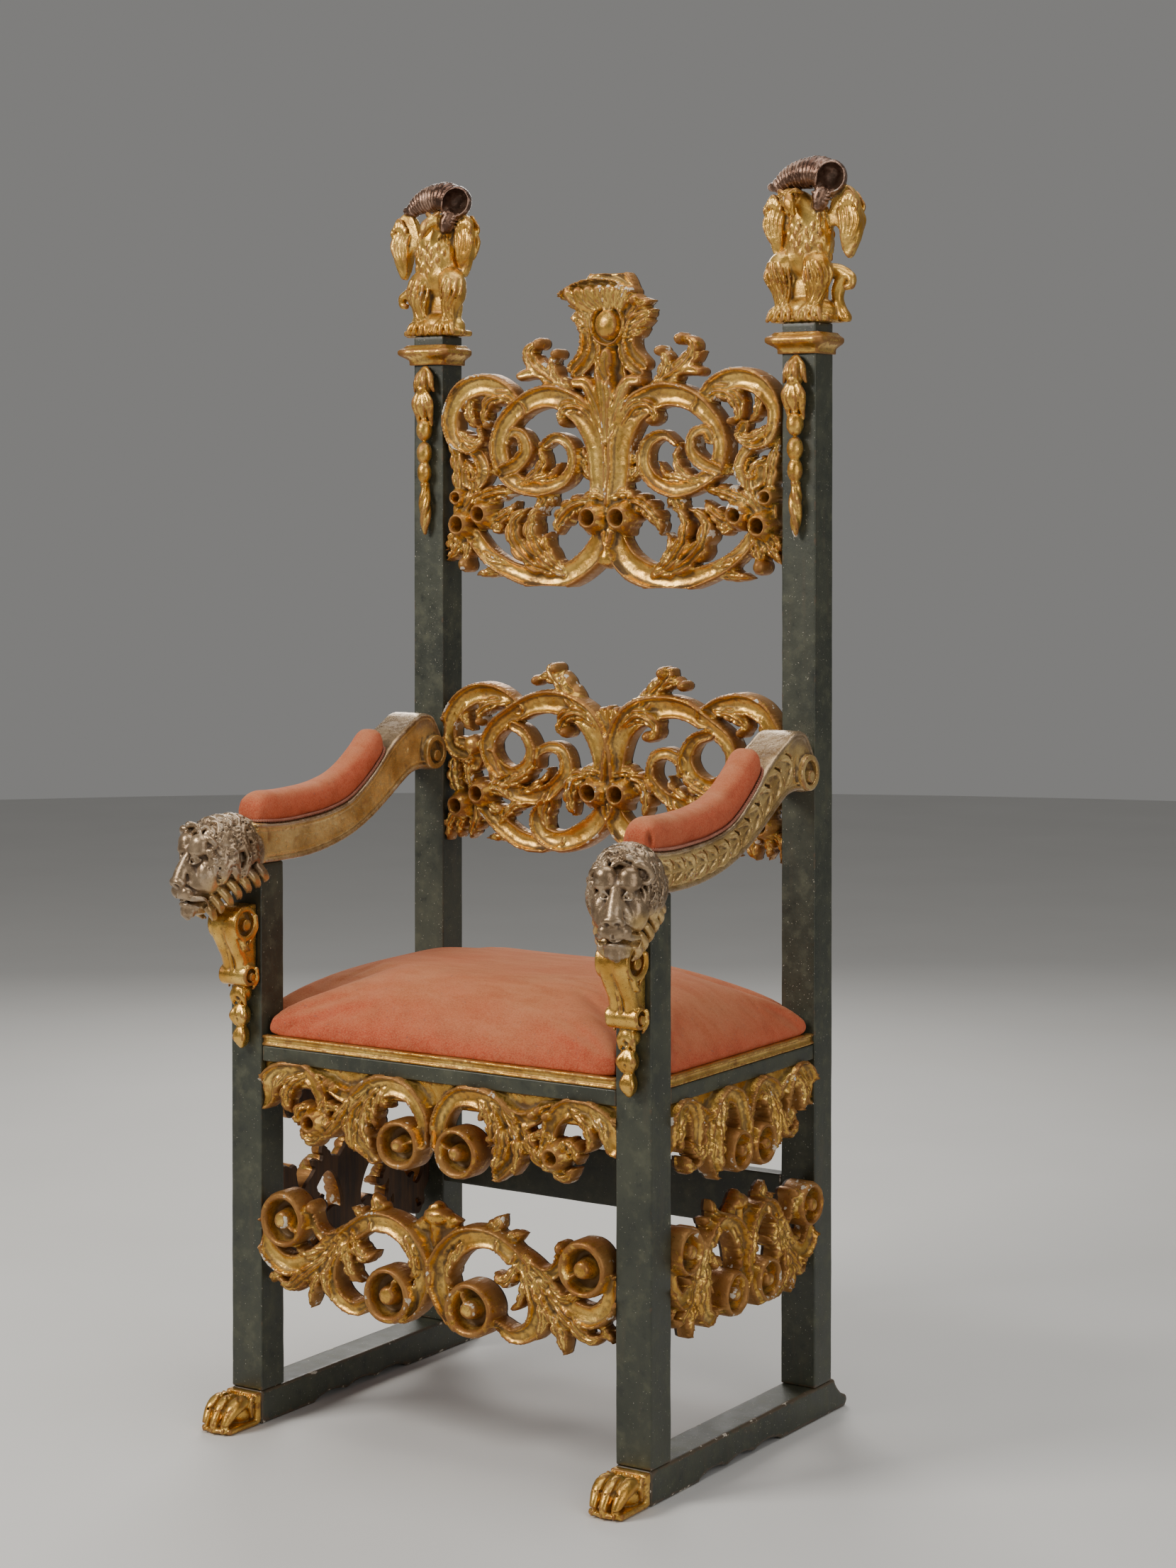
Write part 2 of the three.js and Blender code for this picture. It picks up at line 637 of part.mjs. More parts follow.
// Lion's head looking along -Y: rings from the neck to the nose, knotted into locks in the mane
function lionHead() {
  const rings = [
    { y: -4, z: 22, across: 34, tall: 40, knot: 0.05 },
    { y: -18, z: 18, across: 46, tall: 54, knot: 0.12 },
    { y: -36, z: 14, across: 51, tall: 59, knot: 0.12 },
    { y: -55, z: 14, across: 49, tall: 57, knot: 0.13 },
    { y: -66, z: 12, across: 39, tall: 46, knot: 0.05 },
    { y: -84, z: 10, across: 35, tall: 38, knot: 0 },
    { y: -93, z: 0, across: 31, tall: 29, knot: 0 },
    { y: -106, z: -10, across: 27, tall: 20, knot: 0 },
    { y: -116, z: -11, across: 17, tall: 12, knot: 0 },
  ];
  const locks = 7;
  const ring = ({ y, z, across, tall, knot }, row) => Array.from({ length: 2 * locks }, (_, i) => {
    const angle = (Math.PI * i) / locks;
    const swell = 1 + ((i + row) % 2 ? knot : -knot);
    return point(across * swell * Math.sin(angle), y, z + tall * swell * Math.cos(angle));
  });
  const bodies = [
    loft(rings.map(ring)),
    limb([[[0, -44, -26], 24], [[0, -88, -46], 18], [[0, -84, -72], 6]], 6),
    limb([[[0, -82, 40], 10], [[0, -100, 16], 8], [[0, -120, -6], 8]], 5),
  ];
  for (const way of [-1, 1]) {
    bodies.push(ball([way * 19, -82, 28], [15, 14, 10], 5, 3));
  }
  return bodies.map((body) => body.rotateZ(headTurn));
}

function armCarving() {
  const bodies = [];
  const leaves = 6;
  for (let i = 0; i < leaves; i += 1) {
    const y = 32 + (318 * i) / (leaves - 1);
    const lift = 27 + 105 * (Math.max(0, y - 110) / 240) ** 1.7;
    const flip = i % 2 ? 1 : -1;
    const path = [[y - 20, lift + 10 * flip], [y + 6, lift + 12 * flip], [y + 28, lift - 8 * flip]];
    const leaf = stroke(path.map(([u, v]) => [fitReach(u), v]), leafTaper.map((share) => share * 8.5),
      [5, 6, 5], leafSection, 30, 1);
    bodies.push(leaf.rotateZ(Math.PI / 2).translate(armWidth / 2 - 1, 0, 0));
  }
  return bodies;
}

function armBody() {
  const half = armWidth / 2;
  const bodies = [sideBoard(armOutline(), armWidth), ...armCarving(), ...lionHead()];
  const y = fitReach(rearVolute.y);
  const ring = (x, radius) => Array.from({ length: 8 }, (_, i) => {
    const angle = (2 * Math.PI * i) / 8;
    return point(x, y + radius * Math.cos(angle), rearVolute.z + radius * Math.sin(angle));
  });
  const stand = half + rearVolute.stand;
  bodies.push(loft([ring(-stand - 4, rearVolute.button), ring(-stand, rearVolute.radius),
    ring(stand, rearVolute.radius), ring(stand + 4, rearVolute.button)]));
  const whole = fuse(bodies);
  const postHalf = postWidth / 2 + joint;
  const bracketHalf = bracketWidth / 2 + joint + 4;
  return cut(whole, [
    block([-postHalf - 20, postHalf + 20], [-joint, frontPostDepth + 30], [-120, joint]),
    block([-bracketHalf, bracketHalf], [-bracketReach - 3, 0], [-160, bracketTop - frontPostTop + joint]),
    block([-60, 60], [rearFace - joint, rearFace + 60], [-50, 260]),
  ]);
}

function arms() {
  const body = armBody();
  piece('right_arm', body, silvering, [postX, 0, frontPostTop]);
  piece('left_arm', mirrored(body), silvering, [-postX, 0, frontPostTop]);
}

// Pad: follows the arm's top line, rounded on top and at both ends
function armPad() {
  const line = new THREE.SplineCurve(armTopLine.map(([y, z]) => new THREE.Vector2(fitReach(y), z)));
  const samples = line.getSpacedPoints(200).filter((p) => p.x > 2 && p.x < 2 + padLength);
  const steps = 8;
  const half = padWidth / 2;
  const rings = [];
  for (let i = 0; i <= steps; i += 1) {
    const t = i / steps;
    const at = samples[Math.round(t * (samples.length - 1))];
    const swell = Math.sqrt(Math.min(1, 0.42 + 7 * Math.min(t, 1 - t)));
    const high = padHeight * swell;
    const section = [[-half, 1.5], [half, 1.5], [half, high * 0.55], [half * 0.6, high], [-half * 0.6, high],
      [-half, high * 0.55]];
    rings.push(section.map(([x, lift]) => point(x, at.x, at.y + lift)));
  }
  return loft(rings);
}

function armPads() {
  for (const [side, way] of flanks) {
    piece(`${side}_arm_pad`, armPad(), velvet, [way * postX, 0, frontPostTop]);
  }
}

// Scroll bracket under the lion's head, with a cup, a husk and a bud below it
function bracketBodies() {
  const back = -joint;
  const high = bracketTop - bracketBottom;
  const top = { y: -29, z: high - 25, radius: 25 };
  const foot = { y: -16, z: 14, radius: 14 };
  const outline = [[back, 0], [-12, 0]];
  outline.push(...spiral([foot.y, foot.z], foot.radius, foot.radius, 0.7, 0.4, 2));
  outline.push([-34, 46], [-48, 62]);
  outline.push(...spiral([top.y, top.z], top.radius, top.radius, 0.5, 0.25, 3));
  outline.push([back, high]);
  const bodies = [sideBoard(outline, bracketWidth)];
  const scroll = ({ y, z, radius }, button, stand) => {
    const half = bracketWidth / 2 + stand;
    const ring = (x, r) => Array.from({ length: 8 }, (_, i) => {
      const angle = (2 * Math.PI * i) / 8;
      return point(x, y + r * Math.cos(angle), z + r * Math.sin(angle));
    });
    const reach = half + 3;
    bodies.push(loft([ring(-reach, button), ring(-half, radius), ring(half, radius), ring(reach, button)]));
  };
  scroll({ ...top, radius: top.radius - 3 }, 9, 3);
  scroll({ ...foot, radius: foot.radius - 2 }, 5, 2);
  const husks = [
    { from: 2, to: -30, halves: [9, 15, 13] },
    { from: -28, to: -57, halves: [10, 14, 8] },
    { from: -56, to: -88, halves: [7, 12, 4] },
  ];
  for (const { from, to, halves } of husks) {
    const path = [[0, from], [0, (from + to) / 2], [0, to]];
    bodies.push(stroke(path, halves, [18, 24, 16], roundSection, 16, 1).translate(0, back, 0));
  }
  return bodies;
}

function brackets() {
  for (const [side, way] of flanks) {
    piece(`${side}_scroll_bracket`, fuse(bracketBodies()), gilding, [way * postX, 0, bracketBottom]);
  }
}

// Husk drop on a rear post: a cup, draped leaves, three beads and a long tassel
function huskDrop() {
  const share = dropLength / 250;
  const down = (path) => path.map(([u, v]) => [u, -v * share]);
  const part = (from, to, halves, rises) => stroke(
    down([[0, from], [0, (from + to) / 2], [0, to]]), halves, rises, roundSection, 20 * share, 1);
  const bodies = [
    part(0, 38, [4, 11, 18, 17, 13], [8, 20, 26, 20]),
    part(34, 80, [9, 14, 16, 11, 6], [16, 24, 14]),
    part(76, 114, [5, 13, 13, 5], [10, 24, 22, 10]),
    part(111, 146, [5, 12, 12, 5], [10, 22, 20, 10]),
    part(143, 172, [5, 11, 11, 5], [10, 20, 18, 10]),
    part(169, 250, [5, 9, 9, 8, 6, 2.5], [10, 18, 18, 14, 10, 5]),
  ];
  for (const way of [-1, 1]) {
    const leaf = down([[way * 3, 42], [way * 10, 60], [way * 9, 88]]);
    bodies.push(stroke(leaf, [5, 8, 0], [18, 20, 8], leafSection, 26, way));
  }
  return fuse(bodies);
}

function huskDrops() {
  const top = capitalBottom - dropGap;
  for (const [side, way] of flanks) {
    piece(`${side}_husk_drop`, huskDrop(), gilding, [way * postX, rearFace - joint, top]);
  }
}

// Capital: a moulding mitred round the front and both sides of the post, flush behind
function capital() {
  const half = postWidth / 2 + joint;
  const back = rearPostDepth;
  const profile = [[0, 0], [4, 0], [4, 6], [capitalNose - 4, 13], [capitalNose, 17], [capitalNose, 21],
    [capitalNose - 5, 25], [7, capitalHeight], [0, capitalHeight]];
  const corner = (x, y, outX, outY) => profile.map(([out, z]) => point(x + outX * out, y + outY * out, z));
  return loft([
    corner(-half, back, -1, 0),
    corner(-half, -joint, -1, -1),
    corner(half, -joint, 1, -1),
    corner(half, back, 1, 0),
  ]);
}

function capitals() {
  for (const [side, way] of flanks) {
    piece(`${side}_capital`, capital(), gilding, [way * postX, rearFace, capitalBottom]);
  }
}

// Eagle with folded wings, drawn as a right-hand bird and mirrored for the left
function eagleBird() {
  const ring = (z, rx, ry, x, y, count = 7) => Array.from({ length: count }, (_, i) => {
    const angle = (2 * Math.PI * (i + 0.5)) / count;
    return point(x + rx * Math.cos(angle), y + ry * Math.sin(angle), z);
  });
  const bodies = [
    loft([ring(0, 46, 28, 0, 0), ring(22, 42, 26, 0, 0), ring(60, 32, 22, 1, 5), ring(95, 36, 26, 1, 2),
      ring(130, 33, 26, 0, 0), ring(160, 22, 20, -4, -4), ring(182, 14, 16, -9, -8)]),
    limb([[[-6, -18, 172], 10], [[4, -34, 163], 7], [[8, -38, 152], 2]], 5),
    limb([[[30, 16, 30], 8], [[52, 16, 58], 9], [[66, 13, 72], 7]], 5),
  ];
  for (const way of [-1, 1]) {
    bodies.push(limb([[[way * 27, -10, 86], 8], [[way * 28, -15, 70], 18], [[way * 22, -14, 34], 10],
      [[way * 22, -20, 16], 9]], 6));
    for (let feather = 0; feather < 3; feather += 1) {
      const out = 74 - feather * 14;
      const path = [[12, 148], [out * 0.8, 172 - feather * 8], [out, 136 - feather * 3],
        [out - 16, 86 + feather * 9]].map(([u, v]) => [way * u, v]);
      const rises = [26, 24 + 4 * feather, 20];
      bodies.push(stroke(path, [9, 12, 11, 0], rises, leafSection, 42, way).translate(0, 32, 0));
    }
  }
  return bodies;
}

// Ringed shell lying across the bird's head, spire to the left and mouth to the right
function shellBodies() {
  const rings = 6;
  const bodies = [];
  const stations = [];
  for (let i = 0; i <= rings; i += 1) {
    const t = i / rings;
    const swell = i % 2 ? 1.07 : 0.97;
    const centre = [-48 + 96 * t, -2 - 8 * t, 199 + 10 * Math.sin(Math.PI * 0.62 * t)];
    stations.push([centre, (4 + 19 * t ** 0.75) * swell]);
  }
  bodies.push(limb(stations, 7));
  bodies.push(limb([[[26, -6, 200], 12], [[34, -8, 172], 9], [[22, -4, 150], 5]], 5));
  return bodies;
}

function eagles() {
  const share = eagleHeight / 183;
  const middle = rearFace + rearPostDepth / 2;
  const mouth = limb([[[38, -10, 208], 14], [[60, -13, 208], 17]], 7);
  const shell = shellBodies();
  for (const [side, way] of flanks) {
    const bird = eagleBird().map((body) => (way > 0 ? body : mirrored(body)));
    const whole = cut(fuse([...bird, ...shell]), [mouth]).scale(share, share, share);
    piece(`${side}_eagle`, whole, gilding, [way * postX, middle, rearPostTop + joint]);
  }
}

// Carved boards in the back, below the seat and between the posts
function backPanels() {
  const back = rearFace + backPanelSetback;
  piece('upper_back_panel', carvedBoard({
    clear: clearHalf,
    height: upperPanelHeight,
    drawnHeight: drawnHeights.upper,
    designs: [upperPanelDesign, cartouche],
  }), gilding, [0, back, upperPanelBottom]);
  piece('lower_back_panel', carvedBoard({
    clear: clearHalf,
    height: lowerPanelHeight,
    drawnHeight: drawnHeights.lower,
    designs: [lowerPanelDesign],
  }), gilding, [0, back, lowerPanelBottom]);
}

function seatAprons() {
  piece('front_apron', apron(clearHalf, [apronDesign, apronSprays]), gilding, [0, apronBack, apronBottom]);
  for (const [side, way] of flanks) {
    piece(`${side}_apron`, apron(sideLength / 2, [apronDesign]), gilding,
      [way * (halfWidth - apronBack), sideMiddle, apronBottom], way * Math.PI / 2);
  }
}

function stretchers() {
  piece('front_stretcher', stretcher(clearHalf, [stretcherDesign, stretcherSprays]), gilding,
    [0, stretcherBack, frontStretcherBottom]);
  for (const [side, way] of flanks) {
    piece(`${side}_stretcher`, stretcher(sideLength / 2, [stretcherDesign]), gilding,
      [way * (halfWidth - stretcherBack), sideMiddle, sideStretcherBottom], way * Math.PI / 2);
  }
  const tall = [backStretcherBottom, backStretcherBottom + backStretcherHeight];
  piece('back_stretcher', block([-clearHalf + joint, clearHalf - joint],
    [rearFace + railRecess, rearFace + railRecess + backStretcherDepth], tall), greenPaint);
}

runners();
posts();
seatFrame();
piece('seat_cushion', seatCushion(), velvet);
seatAprons();
stretchers();
arms();
armPads();
brackets();
backPanels();
capitals();
huskDrops();
eagles();

// The origin is the middle of the footprint, on the floor
const armchair = new THREE.Group();
const extent = new THREE.Box3().setFromObject(chair);
chair.position.set(-(extent.min.x + extent.max.x) / 2, -(extent.min.y + extent.max.y) / 2, -extent.min.z);
armchair.add(chair);

export default armchair;
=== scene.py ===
import math

import bpy
import numpy as np
from mathutils import Euler, Matrix, Vector


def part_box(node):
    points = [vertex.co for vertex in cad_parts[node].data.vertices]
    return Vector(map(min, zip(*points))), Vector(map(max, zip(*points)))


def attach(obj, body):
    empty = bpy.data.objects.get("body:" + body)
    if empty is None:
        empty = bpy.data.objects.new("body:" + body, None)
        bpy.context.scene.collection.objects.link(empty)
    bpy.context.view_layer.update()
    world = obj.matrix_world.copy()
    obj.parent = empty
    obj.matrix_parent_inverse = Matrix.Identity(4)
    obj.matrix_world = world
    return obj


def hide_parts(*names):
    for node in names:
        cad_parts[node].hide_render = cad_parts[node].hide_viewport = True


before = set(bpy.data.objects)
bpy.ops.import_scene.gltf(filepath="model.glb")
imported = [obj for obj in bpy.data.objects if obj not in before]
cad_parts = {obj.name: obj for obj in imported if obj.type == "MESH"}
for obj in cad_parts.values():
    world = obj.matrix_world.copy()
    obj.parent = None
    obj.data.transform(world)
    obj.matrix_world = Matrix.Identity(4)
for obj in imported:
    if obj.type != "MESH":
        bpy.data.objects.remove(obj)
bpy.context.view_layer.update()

# The chair is drawn in millimetres from the front posts' front face, with z up from the floor
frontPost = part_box("right_front_post")
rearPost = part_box("right_rear_post")
frontFace = frontPost[0][1]
postDepth = (frontPost[1][1] - frontFace) * 1000
rearFace = (rearPost[0][1] - frontFace) * 1000
rearBack = (rearPost[1][1] - frontFace) * 1000
halfWidth = frontPost[1][0] * 1000
clearHalf = frontPost[0][0] * 1000
postX = (halfWidth + clearHalf) / 2
sideMiddle = (postDepth + rearFace) / 2
frontTop = frontPost[1][2] * 1000
runnerTop = frontPost[0][2] * 1000 - 0.4
jointGap = 0.3


def toMetres(points):
    return np.asarray(points, float) / 1000 + [0, frontFace, 0]


def linked(name, data):
    made = bpy.data.objects.new(name, data)
    bpy.context.scene.collection.objects.link(made)
    return made


def evaluated(thing):
    return bpy.data.meshes.new_from_object(thing.evaluated_get(bpy.context.evaluated_depsgraph_get()))


def triples(items, what):
    values = np.empty(len(items) * 3)
    items.foreach_get(what, values)
    return values.reshape(-1, 3)


def setValues(attribute, values):
    attribute.data.foreach_set("value", np.asarray(values, np.float32))


def asLists(faces):
    return faces if isinstance(faces, list) else faces.tolist()


def forSide(faces, way):
    # the faces of a piece mirrored for the left are turned over, to look outward again
    return [face[::-1] for face in asLists(faces)] if way < 0 else faces


def aimed(place, way):
    return Matrix.Translation(Vector(place)) @ way.to_track_quat("-Z", "Y").to_matrix().to_4x4()


# Smooth curves and soft noise
def curveThrough(points, step):
    points = np.asarray(points, float)
    if len(points) == 2:
        count = max(2, int(np.linalg.norm(points[1] - points[0]) / step) + 1)
        return points[0] + (points[1] - points[0]) * np.linspace(0, 1, count)[:, None]
    before = 2 * points[0] - points[1]
    after = 2 * points[-1] - points[-2]
    padded = np.vstack([before, points, after])
    found = []
    for i in range(len(points) - 1):
        a, b, c, d = padded[i:i + 4]
        knots = np.cumsum([0] + [max(1e-6, np.linalg.norm(q - p)) ** 0.5 for p, q in ((a, b), (b, c), (c, d))])
        t = np.linspace(knots[1], knots[2], 12, endpoint=i == len(points) - 2)[:, None]
        k0, k1, k2, k3 = knots
        a1 = (k1 - t) / (k1 - k0) * a + (t - k0) / (k1 - k0) * b
        a2 = (k2 - t) / (k2 - k1) * b + (t - k1) / (k2 - k1) * c
        a3 = (k3 - t) / (k3 - k2) * c + (t - k2) / (k3 - k2) * d
        b1 = (k2 - t) / (k2 - k0) * a1 + (t - k0) / (k2 - k0) * a2
        b2 = (k3 - t) / (k3 - k1) * a2 + (t - k1) / (k3 - k1) * a3
        found.append((k2 - t) / (k2 - k1) * b1 + (t - k1) / (k2 - k1) * b2)
    dense = np.vstack(found)
    lengths = np.concatenate([[0], np.cumsum(np.linalg.norm(np.diff(dense, axis=0), axis=1))])
    count = max(3, int(lengths[-1] / step) + 1)
    at = np.linspace(0, lengths[-1], count)
    return np.stack([np.interp(at, lengths, dense[:, k]) for k in range(dense.shape[1])], 1)


def spread(values, t):
    return np.interp(t, np.linspace(0, 1, len(values)), values)


def ripple(seed, wavelength, *coords):
    rng = np.random.default_rng(seed)
    total = 0
    for _ in range(7):
        way = rng.normal(size=len(coords))
        way *= 2 * math.pi / (wavelength * rng.uniform(0.7, 1.4)) / np.linalg.norm(way)
        total = total + np.sin(sum(w * c for w, c in zip(way, coords)) + rng.uniform(0, 6.28))
    return total / 4


def bump(value, middle, width):
    return np.exp(-((value - middle) / width) ** 2)


def step01(value, low, high):
    t = np.clip((value - low) / (high - low), 0, 1)
    return t * t * (3 - 2 * t)


# Turning points and faces into pieces
def neighbourMean(points, edges, rounds):
    moved = points.copy()
    a, b = edges[:, 0], edges[:, 1]
    count = np.maximum(1, np.bincount(a, minlength=len(points)) + np.bincount(b, minlength=len(points)))
    for _ in range(rounds):
        mean = np.stack([
            np.bincount(a, moved[b, k], len(points)) + np.bincount(b, moved[a, k], len(points))
            for k in range(3)], 1) / count[:, None]
        moved = 0.5 * moved + 0.5 * mean
    return moved


def markRelief(mesh, fineRounds, broadRounds, fine, broad):
    # ridge is how far a point stands proud nearby, hollow how deep it lies in its wider surroundings
    points = triples(mesh.vertices, "co") * 1000
    normals = triples(mesh.vertex_normals, "vector")
    edges = np.empty(len(mesh.edges) * 2, np.int64)
    mesh.edges.foreach_get("vertices", edges)
    edges = edges.reshape(-1, 2)
    near = neighbourMean(points, edges, fineRounds)
    far = neighbourMean(near, edges, broadRounds - fineRounds)
    ridge = np.clip(np.sum((points - near) * normals, 1) / fine, -1, 1)
    hollow = np.clip(-np.sum((points - far) * normals, 1) / broad, -1, 1)
    for name, values in (("ridge", ridge), ("hollow", hollow)):
        setValues(mesh.attributes.new(name, "FLOAT", "POINT"), values)


def thinned(mesh, share):
    # fewer triangles where the surface is flat
    holder = linked("holder", mesh)
    thin = holder.modifiers.new("thin", "DECIMATE")
    thin.ratio = share
    done = evaluated(holder)
    bpy.data.objects.remove(holder)
    bpy.data.meshes.remove(mesh)
    return done


def makePiece(name, points, faces, materials, node, relief, kinds=None, tones=None, share=1.0):
    # kinds gives each face its material, relief the reach and depth that markRelief looks for
    mesh = bpy.data.meshes.new(name)
    mesh.from_pydata(toMetres(points).tolist(), [], asLists(faces))
    mesh.update()
    for material in materials:
        mesh.materials.append(material)
    if kinds is not None:
        mesh.polygons.foreach_set("material_index", np.asarray(kinds, np.int32))
    mesh.shade_smooth()
    markRelief(mesh, *relief)
    if tones is not None:
        setValues(mesh.attributes.new("tone", "FLOAT", "POINT"), tones)
    if share < 1:
        mesh = thinned(mesh, share)
        mesh.name = name
    piece = linked(name, mesh)
    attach(piece, "root")
    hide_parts(node)
    return piece


def joined(parts):
    points, faces, start = [], [], 0
    for partPoints, partFaces in parts:
        points.append(np.asarray(partPoints, float))
        faces += [[int(i) + start for i in face] for face in partFaces]
        start += len(partPoints)
    return np.vstack(points), faces


# Carved boards: a height over the flat back on a fine grid, cut out along the carving's outline
class Board:
    def __init__(self, half, low, high, cell, squeeze=1.0, seed=1):
        self.cell = cell
        self.squeeze = squeeze
        self.girth = math.sqrt(squeeze)
        self.us = np.arange(-half, half + cell * 0.5, (2 * half) / round(2 * half / cell))
        self.vs = np.arange(low, high + cell, cell)
        self.u, self.v = np.meshgrid(self.us, self.vs, indexing="ij")
        self.flatU = self.u + ripple(seed, 90, self.u, self.v) * 1.3
        self.flatV = self.v + ripple(seed + 1, 90, self.u, self.v) * 1.3
        self.height = np.zeros_like(self.u)
        self.inside = np.full_like(self.u, -60.0)

    def window(self, low, high):
        a0, a1 = np.searchsorted(self.us, (low[0] - 3, high[0] + 3))
        b0, b1 = np.searchsorted(self.vs, (low[1] - 3, high[1] + 3))
        return slice(a0, a1), slice(b0, b1)

    def lay(self, where, inside, height, over=False):
        shown = inside > 0
        old = self.height[where]
        if over:
            self.height[where] = np.where(shown, height, old)
        else:
            self.height[where] = np.where(shown & (height > old), height, old)
        self.inside[where] = np.maximum(self.inside[where], inside)

    def sidesFor(self, sides):
        return (1, -1) if sides == "both" else (sides,)

    def sweep(self, path, halves, rises, profile, hand=1, sides="both", notch=None, over=False):
        for side in self.sidesFor(sides):
            points = curveThrough(np.asarray(path, float) * [self.squeeze * side, 1], 3.0)
            widest = max(halves) * self.girth * 1.15
            where = self.window(points.min(0) - widest, points.max(0) + widest)
            u, v = self.flatU[where], self.flatV[where]
            if u.size == 0:
                continue
            start, run = points[:-1], np.diff(points, axis=0)
            length = np.linalg.norm(run, axis=1)
            gone = np.concatenate([[0], np.cumsum(length)])
            best = np.full(u.shape, 1e9)
            t = np.zeros(u.shape)
            across = np.zeros(u.shape)
            for k in range(len(start)):
                du, dv = u - start[k, 0], v - start[k, 1]
                share = np.clip((du * run[k, 0] + dv * run[k, 1]) / length[k] ** 2, 0, 1)
                offU, offV = du - share * run[k, 0], dv - share * run[k, 1]
                distance = np.hypot(offU, offV)
                nearer = distance < best
                best = np.where(nearer, distance, best)
                t = np.where(nearer, (gone[k] + share * length[k]) / gone[-1], t)
                across = np.where(nearer, np.sign(run[k, 0] * dv - run[k, 1] * du), across)
            half = np.maximum(0.3, spread(halves, t) * self.girth)
            s = across * best / half * hand * side
            if notch:
                half = half * notch(s, t)
            inside = half - best
            self.lay(where, inside, spread(rises, t) * profile(s, t), over)

    def round(self, middle, radius, shape, sides="both", over=True):
        for side in self.sidesFor(sides):
            centre = np.array([middle[0] * self.squeeze * side, middle[1]])
            size = np.asarray(radius, float) * self.girth * np.ones(2)
            where = self.window(centre - size * 1.3, centre + size * 1.3)
            du = (self.flatU[where] - centre[0]) / size[0]
            dv = (self.flatV[where] - centre[1]) / size[1]
            share = np.hypot(du, dv)
            turn = np.arctan2(dv, du * side) / (2 * math.pi) % 1
            edge, height = shape(share, turn)
            self.lay(where, (edge - share) * size.min(), height, over)

    # the marks of the carver's tools
    def band(self, path, halves, rises, hand=1, sides="both", over=False):
        self.sweep(path, halves, rises, scrollSection, hand, sides, None, over)

    def leaf(self, path, half, rise, lobes=5, hand=1, sides="both", over=False, taper=(0.45, 0.9, 1, 0.8, 0.18)):
        self.sweep(path, [half * x for x in taper], [rise * 0.82, rise * 0.96, rise, rise * 0.92],
                   leafSection(lobes), hand, sides, lobedEdge(lobes), over)

    def frond(self, path, half, rise, sides="both", over=False, taper=(0.4, 0.7, 1, 0.75)):
        self.sweep(path, [half * x for x in taper], [rise * 0.8, rise * 0.92, rise], frondSection, 1, sides, None, over)

    def flower(self, middle, radius, hole, rise, sides="both"):
        def shape(share, turn):
            h = hole / radius
            petals = 1 + 0.13 * np.cos(2 * math.pi * 5 * turn) + 0.05 * np.cos(2 * math.pi * 12 * turn + 1)
            rim = 1 - 0.5 * np.clip((share - h * 1.45) / (1.1 - h * 1.45), 0, 1) ** 1.3
            fold = 0.035 * np.cos(2 * math.pi * 10 * turn) * step01(share, h * 1.6, 0.8)
            throat = 0.28 + 0.72 * step01(share, h * 0.75, h * 1.45)
            return petals, rise * (rim + fold) * throat
        self.round(middle, radius, shape, sides)

    def volute(self, middle, radius, rise, start=0.0, hand=1, sides="both", peg=0.34, pegRise=0.0, floor=0.46):
        def shape(share, turn):
            along = (hand * (turn - start)) % 1
            inner = 0.73 - 0.2 * along ** 1.5 - 0.22 * step01(along, 0.86, 1.0)
            ring = step01(share, inner - 0.045, inner + 0.045)
            top = 1 - 0.09 * ((share - 0.86) / 0.14) ** 2
            knob = 1 - step01(share, peg - 0.04, peg + 0.05)
            bridge = step01(along, 0.9, 0.97) * (1 - step01(share, 0.6, 0.8))
            body = np.maximum(ring * top, bridge * 0.97)
            height = rise * np.maximum(floor, body)
            return np.ones_like(share), np.maximum(height, knob * (rise + pegRise) * (1 - 0.08 * (share / peg) ** 2))
        self.round(middle, radius, shape, sides)

    def ball(self, middle, radius, rise, sides="both", over=False, low=0.6):
        def shape(share, turn):
            return np.ones_like(share), rise * (low + (1 - low) * np.sqrt(np.clip(1 - share ** 2, 0, 1)))
        self.round(middle, radius, shape, sides, over)

    def finish(self, edgeRadius=3.2, edgeShare=0.6, texture=0.35, seed=5):
        h = self.height
        for _ in range(2):
            wide = np.pad(h, 1)
            near = np.maximum.reduce([wide[:-2, 1:-1], wide[2:, 1:-1], wide[1:-1, :-2], wide[1:-1, 2:]])
            h = np.where(h > 0, h, near)
        for _ in range(2):
            soft = h.copy()
            soft[1:-1, 1:-1] = (h[1:-1, 1:-1] * 4 + h[:-2, 1:-1] + h[2:, 1:-1] + h[1:-1, :-2] + h[1:-1, 2:]) / 8
            known = self.inside > self.cell * 1.2
            h = np.where(known, soft, h)
        q = np.clip(self.inside / edgeRadius, 0, 1)
        h = h * (edgeShare + (1 - edgeShare) * np.sqrt(1 - (1 - q) ** 2))
        h = h + texture * ripple(seed, 11, self.u, self.v) + texture * 0.8 * ripple(seed + 3, 26, self.u, self.v)
        self.height = np.maximum(h, 3.0)

    def mesh(self, backBevel=1.6, backKeep=5.0):
        f = self.inside
        ends = (slice(None, -1), slice(1, None))
        corners = [(a, b) for b in ends for a in ends]
        centre = sum(f[corner] for corner in corners) / 4
        solid = centre > 0
        for _ in range(3):
            a, b, c, d = solid[:-1, :-1], solid[1:, :-1], solid[:-1, 1:], solid[1:, 1:]
            solid[:-1, :-1] |= (~a & ~d & b & c)
            a, b, c, d = solid[:-1, :-1], solid[1:, :-1], solid[:-1, 1:], solid[1:, 1:]
            solid[1:, :-1] |= (a & d & ~b & ~c)
        solid = largestIsland(solid)
